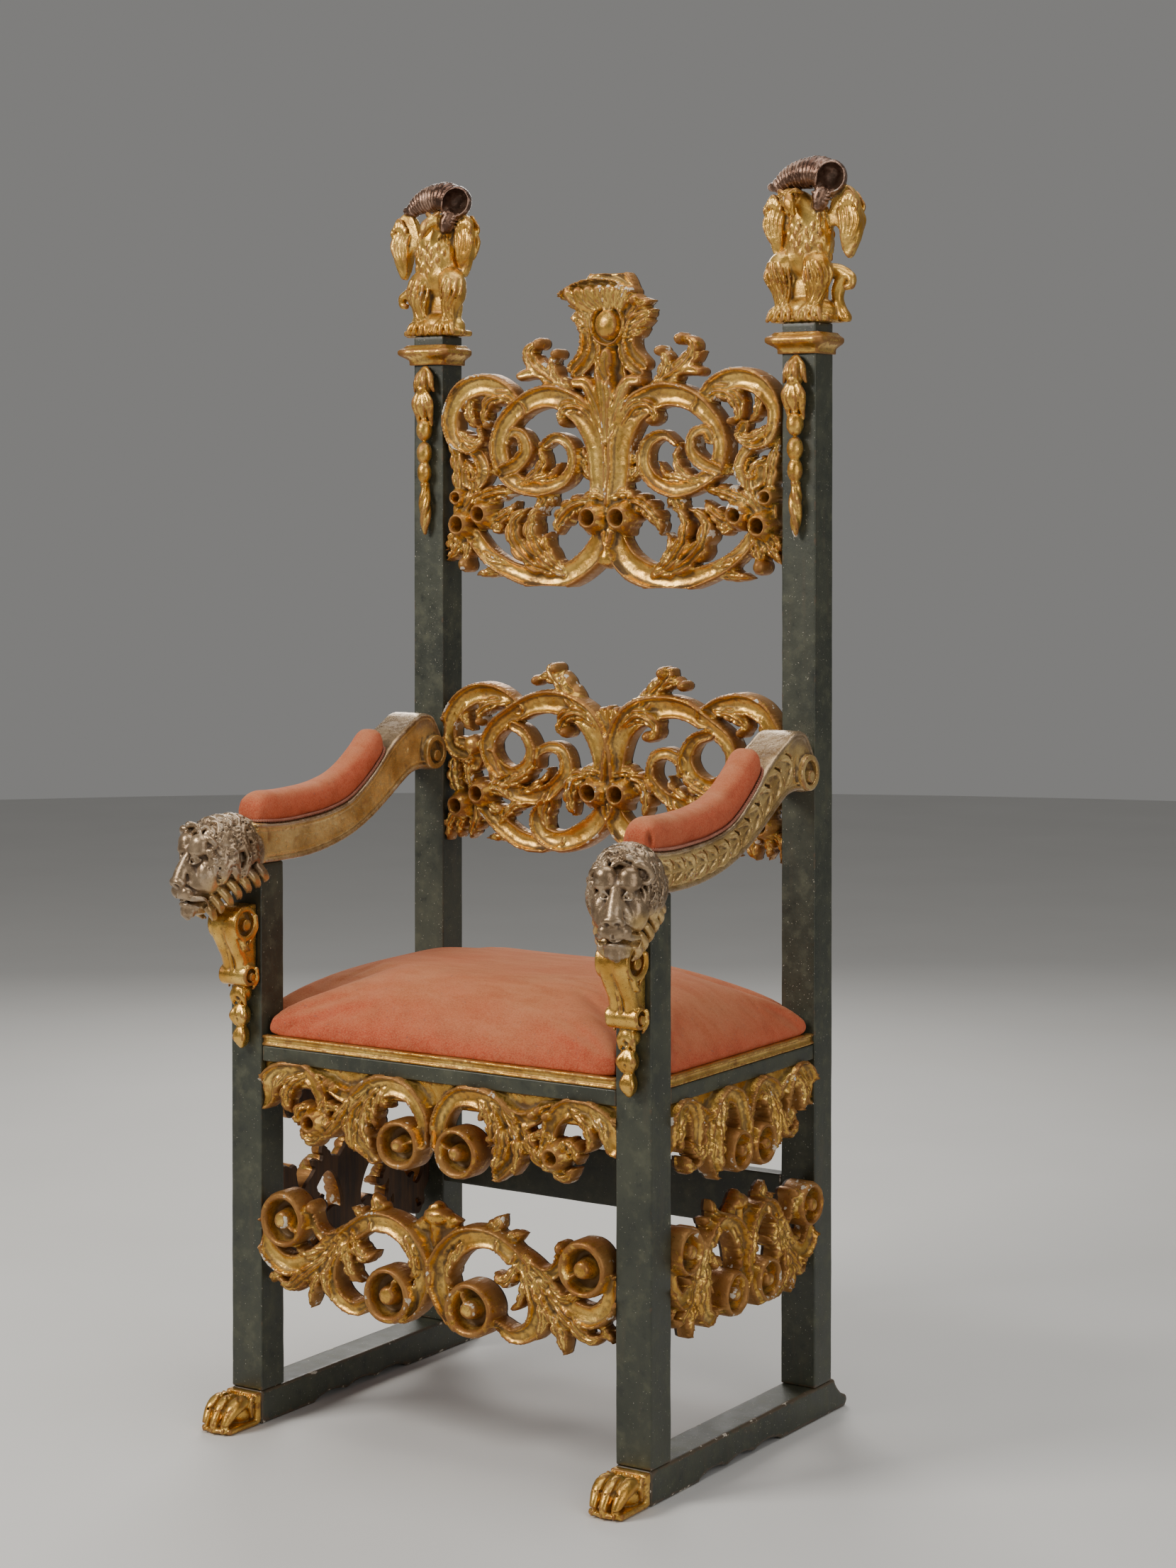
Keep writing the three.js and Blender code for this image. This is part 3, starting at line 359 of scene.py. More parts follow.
        # corners that lie on the outline slide onto it
        used = np.zeros(f.shape, bool)
        full = np.ones(f.shape, bool)
        for corner in corners:
            used[corner] |= solid
            full[corner] &= solid
        full[0, :] = full[-1, :] = full[:, 0] = full[:, -1] = False
        rim = used & ~full
        gradU = np.gradient(f, self.us[1] - self.us[0], axis=0)
        gradV = np.gradient(f, self.cell, axis=1)
        size = np.maximum(0.25, gradU ** 2 + gradV ** 2)
        onLine = rim & (np.abs(f) < 1.6 * self.cell)
        slide = np.clip(-f / size, -self.cell * 0.8, self.cell * 0.8) * onLine
        slideU, slideV = slide * gradU, slide * gradV
        slideU[0, :] = slideU[-1, :] = 0
        atU = self.u + slideU
        atV = self.v + slideV
        length = np.sqrt(size)
        insetU, insetV = gradU / length * onLine, gradV / length * onLine
        index = np.full(f.shape, -1)
        index[used] = np.arange(used.sum())
        count = int(used.sum())
        flat = np.stack([atU[used], atV[used]], 1)
        inset = np.stack([insetU[used], insetV[used]], 1)
        top = self.height[used]
        low = np.minimum(backKeep, top * 0.6)
        front = np.column_stack([flat, top])
        middle = np.column_stack([flat, low])
        back = np.column_stack([flat + inset * backBevel, np.zeros(count)])
        i, j = np.nonzero(solid)
        a, b, c, d = index[i, j], index[i + 1, j], index[i + 1, j + 1], index[i, j + 1]
        frontFaces = np.stack([a, b, c, d], 1)
        # directed outline edges, with the solid on their left
        outline = []
        for (p, q, shift) in (((0, 0), (1, 0), (0, -1)), ((1, 0), (1, 1), (1, 0)),
                              ((1, 1), (0, 1), (0, 1)), ((0, 1), (0, 0), (-1, 0))):
            ni, nj = i + shift[0], j + shift[1]
            valid = (ni >= 0) & (ni < solid.shape[0]) & (nj >= 0) & (nj < solid.shape[1])
            open_ = np.ones(len(i), bool)
            open_[valid] = ~solid[ni[valid], nj[valid]]
            outline.append(np.stack([index[i[open_] + p[0], j[open_] + p[1]],
                                     index[i[open_] + q[0], j[open_] + q[1]]], 1))
        outline = np.vstack(outline)
        rimIds = np.unique(outline)
        renumber = np.full(count, -1)
        renumber[rimIds] = np.arange(len(rimIds))
        middleStart = count
        backStart = count + len(rimIds)
        points = np.vstack([front, middle[rimIds], back])
        p, q = outline[:, 0], outline[:, 1]
        upperWall = np.stack([p, renumber[p] + middleStart, renumber[q] + middleStart, q], 1)
        lowerWall = np.stack([renumber[p] + middleStart, p + backStart, q + backStart, renumber[q] + middleStart], 1)
        # the flat back is laid in long strips, except next to the outline
        plain = solid & ~np.logical_or.reduce([rim[corner] for corner in corners])
        single = ~plain[i, j]
        step = np.diff(np.pad(plain.astype(int), ((0, 0), (1, 1))), axis=1)
        si, s0 = np.nonzero(step == 1)
        s1 = np.nonzero(step == -1)[1]
        strips = np.stack([index[si, s1], index[si + 1, s1], index[si + 1, s0], index[si, s0]], 1)
        backFaces = np.vstack([frontFaces[single][:, ::-1], strips]) + backStart
        faces = np.vstack([frontFaces, upperWall, lowerWall, backFaces])
        kinds = np.repeat([0, 0, 1, 1], [len(frontFaces), len(upperWall), len(lowerWall), len(backFaces)])
        kept = np.unique(faces)
        places = np.full(len(points), -1)
        places[kept] = np.arange(len(kept))
        return points[kept], places[faces], kinds


def largestIsland(solid):
    # stray crumbs of the outline are dropped
    label = np.where(solid, np.arange(1, solid.size + 1).reshape(solid.shape), 0)
    while True:
        best = label.copy()
        best[1:, :] = np.maximum(best[1:, :], label[:-1, :])
        best[:-1, :] = np.maximum(best[:-1, :], best[1:, :])
        best[:, 1:] = np.maximum(best[:, 1:], best[:, :-1])
        best[:, :-1] = np.maximum(best[:, :-1], best[:, 1:])
        best = np.where(solid, best, 0)
        # jump to the label that the label's own cell holds, so that long islands settle fast
        flat = np.concatenate([[0], best.ravel()])
        best = flat[best]
        if np.array_equal(best, label):
            break
        label = best
    names, sizes = np.unique(label[solid], return_counts=True)
    biggest = names[np.argmax(sizes)]
    return solid & (label == biggest)


def scrollSection(s, t):
    face = 0.6 + 0.17 * ((s + 0.2) / 0.8) ** 2
    rim = 1 - 1.5 * (s - 0.76) ** 2 / 0.1
    return np.maximum(face, np.where(s > 0.3, rim, 0)) - 0.06 * bump(s, 0.47, 0.07) + 0.05 * bump(s, -0.9, 0.12)


def leafSection(lobes):
    def section(s, t):
        phase = (t * lobes + 0.42 * (1 - np.abs(s))) % 1
        groove = np.abs(s) ** 0.7 * (bump(phase, 0, 0.16) + bump(phase, 1, 0.16))
        flutes = 0.07 * np.cos(3.2 * math.pi * s)
        rib = 0.08 * bump(s, 0, 0.1) - 0.07 * bump(np.abs(s), 0.24, 0.1)
        lift = 0.1 * np.clip(s, -1, 1)
        return 0.82 + flutes + rib + lift - 0.2 * groove - 0.12 * s ** 2
    return section


def lobedEdge(lobes):
    def edge(s, t):
        phase = (t * lobes) % 1
        deep = np.where(s > 0, 0.34, 0.2)
        return 1 - deep * (bump(phase, 0, 0.2) + bump(phase, 1, 0.14))
    return edge


def frondSection(s, t):
    return 0.86 + 0.14 * np.sqrt(np.clip(1 - s ** 2, 0, 1)) - 0.16 * bump(s, 0, 0.2) * (1 - t * 0.6)


# Back panel above: arches from a trunk, great scrolls, flowers, and a cartouche on top
def upperDesign(b):
    # leaves that rise behind the arches
    b.leaf([[58, 276], [96, 298], [126, 318], [139, 340], [120, 356]], 17, 33, 4, -1)
    b.leaf([[74, 284], [92, 306], [97, 326], [86, 336]], 10, 36, 3)
    b.frond([[100, 300], [134, 308], [152, 304]], 9, 31)
    b.leaf([[104, 306], [140, 322], [154, 332]], 9, 30, 3)
    b.ball([119, 351], 9, 36)
    b.ball([88, 334], 8, 37)
    # corner cluster against the post
    b.leaf([[270, 96], [262, 140], [268, 182], [282, 218]], 15, 31, 5, -1)
    b.leaf([[262, 104], [240, 128], [236, 160], [252, 184]], 12, 34, 4)
    b.band([[252, 204], [228, 192], [216, 168], [228, 148], [248, 152], [250, 168]], [8, 10, 10, 9, 7], [33, 36, 37], 1)
    b.leaf([[264, 176], [216, 170], [182, 160]], 11, 27, 4)
    # outer scroll, rising from behind the arch
    b.band([[150, 252], [178, 282], [216, 294], [254, 280], [275, 246], [266, 212], [240, 202], [220, 214], [224, 228]],
           [11, 13, 16, 17, 15, 13, 11, 9, 7], [33, 37, 40, 38, 36], 1)
    b.leaf([[156, 262], [182, 276], [208, 268], [216, 242], [206, 232]], 15, 36, 4, -1)
    b.leaf([[236, 284], [246, 262], [240, 240], [228, 232]], 11, 33, 4, 1)
    b.leaf([[266, 226], [246, 214], [228, 210], [214, 220]], 11, 37, 3, 1)
    b.ball([206, 234], 7, 40)
    # trunk, arch and great scroll
    b.leaf([[24, 150], [42, 164], [54, 188]], 10, 26, 3)
    b.leaf([[22, 180], [44, 186], [50, 200]], 8, 25, 3)
    b.band([[14, 118], [17, 165], [22, 208], [44, 250], [86, 272], [130, 268], [165, 246], [188, 208],
            [180, 170], [150, 147], [110, 140], [76, 152], [60, 178], [68, 205], [92, 215], [110, 204]],
           [17, 17, 19, 21, 21, 18, 16, 15, 14, 14, 13, 12, 11, 10, 9, 6], [33, 35, 38, 40, 39, 38, 37, 36, 35], 1)
    b.band([[182, 166], [158, 176], [140, 196], [146, 218], [164, 222], [172, 208]], [9, 11, 11, 10, 8, 6],
           [36, 40, 41], -1, over=True)
    b.leaf([[160, 148], [128, 160], [112, 182], [120, 204]], 11, 36, 4, -1)
    b.leaf([[150, 146], [118, 156], [96, 160], [84, 178]], 8, 37, 3, -1)
    b.leaf([[118, 140], [112, 124], [122, 112], [114, 102]], 13, 31, 3)
    b.leaf([[104, 140], [100, 124], [96, 114]], 8, 29, 2)
    b.leaf([[24, 232], [46, 256], [72, 256], [80, 240], [72, 230]], 13, 38, 4, 1)
    b.ball([74, 236], 7, 40)
    # central fronds
    b.frond([[2, 214], [20, 262], [36, 292], [52, 294]], 12, 36, over=True)
    b.frond([[0, 208], [-2, 268], [-6, 318]], 15, 40, 1, over=True)
    # bottom scrolls with their great leaves
    b.band([[3, 96], [16, 56], [44, 28], [84, 13], [132, 12], [180, 27], [214, 48], [238, 76]],
           [17, 20, 20, 18, 15, 13, 12, 11], [34, 37, 37, 35, 33], -1)
    b.leaf([[82, 22], [126, 34], [158, 66], [160, 96], [136, 112]], 18, 41, 5, -1, over=True)
    b.leaf([[76, 18], [112, 44], [130, 76], [126, 104], [110, 112]], 15, 43, 5, -1, over=True)
    b.leaf([[74, 20], [98, 44], [106, 66], [98, 78]], 9, 40, 3, -1, over=True)
    b.leaf([[166, 24], [206, 20], [234, 16]], 10, 29, 4)
    b.leaf([[176, 30], [206, 36], [226, 50]], 9, 33, 3)
    # serrated collar and trumpet flowers below the trunk
    b.leaf([[30, 122], [58, 116], [84, 92], [88, 76]], 17, 37, 5, 1, over=True)
    b.leaf([[-2, 128], [-30, 134], [-48, 124]], 9, 35, 3, 1, 1)
    b.leaf([[2, 128], [30, 134], [48, 124]], 9, 35, 3, -1, 1)
    b.leaf([[0, 112], [2, 88], [0, 62]], 12, 36, 2, 1, 1)
    b.ball([0, 40], 15, 38, 1)
    b.flower([24, 99], 24, 8.5, 46)
    # corner flowers with their leaves
    b.leaf([[258, 92], [238, 116], [200, 132], [158, 138]], 16, 35, 6, -1)
    b.leaf([[226, 96], [196, 96], [172, 108], [160, 122]], 13, 37, 4, 1)
    b.leaf([[214, 92], [190, 84], [180, 98]], 9, 35, 3)
    b.leaf([[250, 78], [266, 54], [284, 34]], 12, 33, 4)
    b.leaf([[238, 80], [244, 56], [252, 30]], 14, 35, 4, -1)
    b.ball([250, 30], 11, 36)
    b.leaf([[262, 84], [276, 66], [284, 50]], 9, 36, 3)
    b.flower([217, 103], 21, 7, 44)
    b.flower([254, 88], 22, 8, 46)
    b.flower([262, 128], 15, 6, 38)


def cartoucheDesign(b):
    # stacked shell ribs at the top, left part larger than the right
    for k, (u, v) in enumerate([(-72, 404), (-66, 390), (-58, 376)]):
        b.leaf([[-28, 366 + 8 * k], [-48, v - 2], [u, v]], 11, 33 - k, 3, 1, 1)
    for k, (u, v) in enumerate([(70, 404), (72, 391), (68, 377), (60, 365)]):
        b.leaf([[26, 352 + 10 * (3 - k)], [48, v - 3], [u, v + 2]], 10, 34 - k, 2, -1, 1)
    b.band([[0, 292], [0, 334], [0, 372], [0, 414]], [30, 22, 30, 46], [25, 27, 27, 30], 1, 1)
    # side scrolls of the waist, each a pair of nested curves
    b.band([[-64, 314], [-44, 332], [-38, 356], [-46, 378], [-58, 386]], [8, 9, 9, 8, 6], [28, 34, 34, 30], 1, 1)
    b.band([[58, 318], [42, 334], [38, 356], [46, 378], [66, 388]], [9, 10, 10, 8, 5], [28, 34, 34, 30], -1, 1)
    b.band([[-56, 306], [-32, 326], [-24, 352], [-30, 384], [-44, 402]], [8, 9, 8, 8, 6], [30, 35, 35, 32], 1, 1)
    b.band([[52, 304], [30, 322], [22, 350], [30, 382], [48, 400]], [8, 9, 8, 8, 6], [30, 35, 35, 32], -1, 1)
    b.frond([[0, 298], [-2, 316], [0, 332]], 13, 36, 1, over=True)
    # oval boss in its grooved rim
    b.round([0, 374], (29, 32), ovalBoss, 1)
    # shell that curls forward along the top
    for k in range(7):
        u = -62 + 17 * k
        b.frond([[u * 0.55 + 2, 398], [u * 0.85, 412], [u, 424 - 0.0016 * (u + 12) ** 2]], 11.5, 39 + (k % 2), 1,
                over=True)
    b.band([[-74, 418], [-44, 431], [-6, 434], [22, 428], [44, 414]], [7, 7, 7, 6, 5], [40, 45, 42, 38], 1, 1)
    b.ball([46, 408], 9, 37, 1, over=True)
    b.leaf([[26, 420], [38, 424], [40, 412]], 7, 38, 2, 1, 1)


def ovalBoss(share, turn):
    boss = 40 - 9 * (share / 0.66) ** 2
    rim = 37 - 40 * (share - 0.9) ** 2 / 0.012
    height = np.where(share < 0.66, boss, np.where(share > 0.78, np.maximum(rim, 22), 19))
    return np.ones_like(share), height


# Back panel below: the same trunk and arches, drawn lower
def lowerDesign(b):
    b.leaf([[36, 194], [62, 222], [84, 246], [102, 262], [94, 268]], 16, 35, 4, -1)
    b.leaf([[70, 232], [92, 250], [96, 262]], 11, 37, 3)
    b.leaf([[80, 236], [108, 250], [124, 246]], 10, 33, 3, -1)
    b.ball([92, 262], 9, 38)
    b.ball([124, 244], 8, 34)
    # fan behind the fork
    for k in range(5):
        b.frond([[(k - 2) * 3, 158], [(k - 2) * 9, 186], [(k - 2) * 13, 206 - 2.2 * (k - 2) ** 2]], 8, 28, 1)
    # corner cluster against the post
    b.leaf([[258, 66], [272, 98], [268, 140]], 15, 32, 5, -1)
    b.leaf([[240, 74], [246, 106], [238, 136]], 13, 35, 4)
    b.band([[262, 150], [242, 146], [228, 130], [236, 114], [252, 118]], [8, 9, 9, 8, 6], [33, 36, 37], 1)
    # outer scroll with its ball
    b.band([[158, 204], [188, 219], [226, 222], [260, 205], [280, 172], [272, 142], [250, 132], [234, 142]],
           [11, 14, 16, 16, 14, 12, 10, 8], [33, 38, 39, 36], 1)
    b.leaf([[176, 212], [206, 206], [226, 192], [222, 178]], 12, 37, 4, -1)
    b.leaf([[248, 206], [252, 184], [240, 168]], 9, 34, 3)
    b.ball([233, 148], 15, 40)
    b.ball([221, 182], 7, 40)
    # trunk, arch and ring
    b.band([[6, 106], [12, 148], [28, 182], [54, 205], [92, 214], [132, 209], [166, 192], [197, 170],
            [208, 146], [196, 118], [168, 104], [142, 116], [131, 142], [144, 168], [168, 178]],
           [17, 18, 19, 20, 19, 17, 15, 14, 13, 12, 12, 12, 11, 10, 8], [33, 36, 38, 38, 40, 38, 36], 1)
    b.leaf([[26, 184], [52, 200], [76, 190], [80, 174], [70, 166]], 13, 40, 4, 1, over=True)
    b.ball([70, 171], 9, 41)
    # inner spiral below the arch
    b.band([[206, 132], [192, 98], [160, 80], [126, 77], [93, 90], [72, 116], [78, 142], [101, 149],
            [122, 138], [124, 120]], [10, 14, 15, 13, 12, 11, 10, 9, 8, 6], [33, 37, 38, 36], -1)
    b.leaf([[186, 92], [160, 96], [138, 108], [128, 124]], 11, 40, 4, 1, over=True)
    b.leaf([[150, 80], [124, 92], [108, 104], [104, 118]], 8, 39, 3, 1, over=True)
    b.leaf([[96, 94], [106, 72], [112, 52], [104, 30]], 14, 33, 4)
    # bottom scrolls
    b.band([[4, 66], [22, 40], [52, 20], [86, 13], [114, 24], [124, 46], [114, 66]],
           [16, 18, 18, 16, 14, 11, 8], [34, 37, 38, 36], -1)
    b.band([[84, 14], [116, 6], [150, 10], [180, 27], [206, 46], [228, 68]], [10, 13, 14, 13, 12, 10], [31, 33, 33], -1)
    b.leaf([[190, 36], [176, 50], [160, 62], [138, 62]], 11, 34, 4)
    b.leaf([[160, 18], [192, 14], [214, 10]], 9, 27, 3)
    # serrated collar and trumpet flowers
    b.leaf([[26, 108], [56, 104], [64, 78], [60, 52]], 15, 37, 5, 1, over=True)
    b.leaf([[2, 114], [34, 120], [50, 106]], 10, 36, 3, -1)
    b.leaf([[40, 92], [66, 100], [80, 98]], 8, 34, 3)
    b.leaf([[0, 100], [0, 78], [0, 58]], 11, 36, 2, 1, 1)
    b.flower([23, 87], 23, 8.5, 46)
    # corner flowers
    b.leaf([[214, 84], [186, 82], [168, 68]], 13, 36, 4, -1)
    b.leaf([[214, 68], [196, 54], [182, 58]], 10, 35, 3)
    b.leaf([[262, 52], [282, 30], [284, 4]], 10, 32, 4)
    b.leaf([[234, 68], [232, 40], [242, 8]], 15, 34, 4, -1)
    b.leaf([[252, 44], [262, 24], [262, 8]], 9, 33, 3)
    b.flower([220, 77], 21, 7.5, 45)
    b.flower([257, 56], 21, 7.5, 46)


# Carving below the seat: twin volutes in the middle, falling acanthus and end arches
def apronDesign(b, front):
    # end arch against the post
    b.band([[182, 50], [190, 84], [212, 103], [244, 104], [270, 90], [285, 66]], [9, 12, 13, 14, 16, 18],
           [32, 36, 36, 34], 1)
    b.leaf([[216, 100], [240, 84], [246, 60], [238, 48]], 12, 36, 4, 1, over=True)
    b.leaf([[246, 104], [262, 84], [266, 60]], 9, 33, 3)
    # arch that rolls into the middle volute
    b.band([[100, 4], [120, 30], [122, 62], [102, 92], [66, 103], [34, 94], [14, 66], [13, 34]],
           [10, 20, 21, 18, 15, 13, 12, 10], [28, 33, 37, 40, 40, 40], -1)
    b.leaf([[96, 94], [110, 72], [112, 44], [96, 8]], 15, 41, 5, -1, over=True)
    b.leaf([[86, 96], [94, 76], [96, 56], [90, 40]], 9, 39, 4, -1, over=True)
    b.leaf([[74, 100], [82, 84], [72, 72]], 9, 37, 3)
    b.leaf([[112, 88], [134, 60], [136, 32], [130, 8]], 14, 37, 4, 1, over=True)
    # spray towards the flower
    b.band([[106, 98], [138, 80], [172, 92], [190, 100]], [9, 12, 11, 8], [31, 35, 32], 1)
    b.leaf([[140, 74], [156, 46], [176, 26], [196, 20]], 12, 36, 4, 1, over=True)
    if front:
        b.leaf([[150, 56], [176, 64], [192, 60]], 9, 34, 3)
        b.leaf([[182, 28], [204, 14], [224, 26]], 11, 35, 4)
        b.leaf([[206, 60], [222, 52], [226, 32]], 11, 36, 3)
        b.leaf([[186, 60], [176, 40], [184, 22]], 10, 37, 3)
        b.flower([196, 40], 21, 6.5, 42)
        for u, v in ((170, 97), (182, 90), (160, 90)):
            b.ball([u, v], 7, 38, over=True)
    else:
        b.leaf([[168, 40], [190, 44], [206, 58]], 12, 35, 4, -1)
        b.leaf([[186, 22], [206, 22], [222, 40]], 10, 34, 4)
    b.volute([47, 28], 34.5, 42, start=0.42, hand=-1, peg=0.33, pegRise=2)


# Stretcher: inner volutes, arches, falling leaves and outer volutes at the posts
def stretcherDesign(b, front):
    b.leaf([[244, 60], [262, 44], [270, 32]], 10, 28, 3)
    # leaf behind the middle
    b.leaf([[0, 96], [0, 130], [-4, 156]], 46, 24, 3, 1, 1, taper=(0.35, 0.7, 1, 0.9, 0.4))
    b.ball([0, 152], (21, 12), 27, 1)
    # top leaves
    b.leaf([[70, 132], [92, 148], [106, 166]], 14, 24, 3, -1)
    b.leaf([[104, 134], [124, 140], [140, 146]], 10, 25, 3)
    # outer sweep that ends in the volute at the post
    b.band([[112, 128], [150, 106], [186, 78], [214, 62], [246, 56], [274, 74], [283, 104]],
           [12, 15, 16, 15, 15, 14, 12], [32, 35, 35, 37, 38], -1)
    b.band([[150, 108], [178, 100], [196, 112], [202, 134]], [9, 10, 9, 7], [30, 34, 34], 1)
    b.ball([201, 139], 9, 35)
    b.leaf([[184, 84], [210, 74], [232, 84]], 9, 37, 3, 1, over=True)
    # falling acanthus with a scrolled foot
    b.band([[140, 112], [162, 84], [168, 52], [156, 26], [128, 14], [102, 26]], [12, 14, 14, 13, 11, 7],
           [33, 36, 38, 38], -1)
    b.leaf([[150, 106], [176, 66], [178, 40], [166, 16]], 13, 39, 4, -1, over=True)
    b.leaf([[164, 92], [190, 56], [202, 28], [206, 4]], 14, 35, 5, -1, over=True)
    b.leaf([[180, 72], [216, 44], [244, 26], [266, 34]], 13, 33, 4, 1, over=True)
    b.leaf([[134, 110], [124, 92], [112, 84], [98, 92]], 11, 37, 4, 1, over=True)
    b.leaf([[140, 98], [142, 78], [134, 56], [120, 48]], 9, 36, 4, 1, over=True)
    # middle arch that rolls into the inner volute
    b.band([[146, 108], [124, 124], [94, 135], [60, 132], [30, 112], [12, 78], [24, 38], [44, 18]],
           [10, 13, 15, 17, 18, 17, 14, 11], [34, 37, 39, 40, 40, 40], -1)
    b.leaf([[44, 122], [30, 100], [26, 76], [34, 64]], 9, 42, 4, 1, over=True)
    b.volute([66, 42], 38, 42, start=0.30, hand=-1, peg=0.36, pegRise=0)
    b.volute([243, 120], 38, 42, start=0.62, hand=1, peg=0.36, pegRise=2)
    if front:
        b.leaf([[258, 36], [270, 36], [276, 26]], 9, 28, 2)


# Finishes. Each is mixed from noise and from how proud or how deep the surface lies
class Finish:
    def __init__(self, name):
        self.material = bpy.data.materials.new(name)
        self.material.use_nodes = True
        self.tree = self.material.node_tree
        self.shader = self.tree.nodes["Principled BSDF"]
        self.where = self.add("TexCoord").outputs["Object"]

    def add(self, kind, values=None, **settings):
        made = self.tree.nodes.new("ShaderNode" + kind)
        for key, value in settings.items():
            setattr(made, key, value)
        for key, value in (values or {}).items():
            if isinstance(value, bpy.types.NodeSocket):
                self.tree.links.new(value, made.inputs[key])
            else:
                made.inputs[key].default_value = value
        return made

    def stretched(self, scale):
        return self.add("Mapping", {"Vector": self.where, "Scale": scale}).outputs["Vector"]

    def noise(self, scale, detail=3.0, roughness=0.55, where=None, distortion=0.0):
        return self.add("TexNoise", {"Vector": where or self.where, "Scale": scale, "Detail": detail,
                                     "Roughness": roughness, "Distortion": distortion}).outputs["Fac"]

    def surface(self, name):
        return self.add("Attribute", attribute_name=name).outputs["Fac"]

    def sum(self, a, b, kind="ADD", clamp=False):
        made = self.add("Math", {0: a, 1: b}, operation=kind)
        made.use_clamp = clamp
        return made.outputs[0]

    def times(self, a, b):
        return self.sum(a, b, "MULTIPLY")

    def most(self, a, b):
        return self.sum(a, b, "MAXIMUM")

    def between(self, value, low, high, start=0.0, end=1.0):
        return self.add("MapRange", {"Value": value, "From Min": low, "From Max": high, "To Min": start,
                                     "To Max": end}).outputs["Result"]

    def mix(self, share, a, b):
        made = self.add("Mix", data_type="RGBA")
        for slot, value in ((0, share), (6, a), (7, b)):
            if isinstance(value, bpy.types.NodeSocket):
                self.tree.links.new(value, made.inputs[slot])
            elif slot:
                made.inputs[slot].default_value = (*value, 1)
            else:
                made.inputs[slot].default_value = value
        return made.outputs[2]

    def finish(self, colour, roughness, metallic=None, bumps=None, height=0.002, strength=0.5, sockets=None):
        link = self.tree.links.new
        link(colour, self.shader.inputs["Base Color"])
        if isinstance(roughness, bpy.types.NodeSocket):
            link(roughness, self.shader.inputs["Roughness"])
        else:
            self.shader.inputs["Roughness"].default_value = roughness
        if isinstance(metallic, bpy.types.NodeSocket):
            link(metallic, self.shader.inputs["Metallic"])
        elif metallic is not None:
            self.shader.inputs["Metallic"].default_value = metallic
        if bumps is not None:
            made = self.add("Bump", {"Height": bumps, "Distance": height, "Strength": strength})
            link(made.outputs["Normal"], self.shader.inputs["Normal"])
        for key, value in (sockets or {}).items():
            self.shader.inputs[key].default_value = value
        return self.material


# the darkest colour of each look is painted shade for the hollows and creases, and also the colour of dust specks
giltLook = {"bright": (0.83, 0.53, 0.135), "deep": (0.53, 0.27, 0.05), "bole": (0.21, 0.066, 0.02),
            "shadeAndDust": (0.060, 0.030, 0.013), "gesso": (0.62, 0.56, 0.46), "wearFrom": 0.55}


# the argument after wear sets how far the painted shade spreads over the hollows
def giltFinish(name, look, wear=0.0, hollowShadeReach=0.0, metal=0.92, gloss=0.0, second=None):
    f = Finish(name)
    ridge, hollow = f.surface("ridge"), f.surface("hollow")
    cloud, fine, grain = f.noise(24, 4), f.noise(150, 4), f.noise(620, 3)
    leaf, bole = f.mix(f.between(cloud, 0.36, 0.64), look["deep"], look["bright"]), look["bole"]
    if second:
        # tone says where the first look shows and where the second
        tone = f.surface("tone")
        leaf = f.mix(tone, f.mix(f.between(cloud, 0.36, 0.64), second["deep"], second["bright"]), leaf)
        bole = f.mix(tone, second["bole"], bole)
    # thin leaf over clay shows red-brown in blotches and on the proudest edges
    rub = f.sum(f.sum(ridge, f.between(fine, 0.25, 0.75, -0.45, 0.45)), f.between(cloud, 0.3, 0.7, -0.3, 0.3))
    rubbed = f.between(rub, look["wearFrom"] - wear, look["wearFrom"] - wear + 0.28)
    blotch = f.between(f.noise(52, 5, 0.65), 0.585 - wear * 0.12, 0.66 - wear * 0.12)
    boleShare = f.most(f.times(rubbed, 0.75), f.times(blotch, 0.55))
    colour = f.mix(boleShare, leaf, bole)
    # painted shade darkens the hollows and the creases, and dust leaves fine dark specks
    deep = f.sum(hollow, f.between(fine, 0.3, 0.7, -0.28, 0.28))
    dark = f.between(deep, 0.16 - hollowShadeReach, 0.75 - hollowShadeReach)
    groove = f.between(f.sum(ridge, f.between(fine, 0.3, 0.7, -0.3, 0.3)), -0.3, -0.95)
    shadeAndSpecks = f.most(f.times(dark, 0.88), f.times(groove, 0.72))
    specks = f.between(f.noise(330, 2, 0.5), 0.66, 0.72)
    shadeAndSpecks = f.most(shadeAndSpecks, f.times(specks, 0.7))
    colour = f.mix(shadeAndSpecks, colour, look["shadeAndDust"])
    bare = f.sum(rub, f.between(f.noise(31, 2), 0.4, 0.8, -0.5, 0.5))
    chips = f.sum(f.between(bare, 1.28, 1.36), 1, "MULTIPLY", True)
    colour = f.mix(chips, colour, look["gesso"])
    covered = f.most(f.most(shadeAndSpecks, f.times(boleShare, 0.6)), chips)
    metallic = f.between(covered, 0.0, 1.0, metal, 0.12)
    roughness = f.sum(f.between(covered, 0.0, 1.0, 0.30 - gloss, 0.62), f.between(fine, 0.3, 0.7, -0.06, 0.09))
    bumps = f.sum(f.times(fine, 0.8), f.times(grain, 0.35))
    return f.finish(colour, roughness, metallic, bumps, 0.0011, 0.55)


def plainWood(name, dark=(0.035, 0.018, 0.009), light=(0.12, 0.062, 0.028)):
    f = Finish(name)
    grain = f.noise(9, 5, 0.6, f.stretched((14, 14, 1.2)), 0.4)
    cloud = f.noise(13, 3)
    colour = f.mix(f.between(f.sum(grain, f.between(cloud, 0.3, 0.7, -0.15, 0.15)), 0.35, 0.68), dark, light)
    return f.finish(colour, f.between(grain, 0.3, 0.7, 0.62, 0.8), 0.0, grain, 0.0015, 0.6)


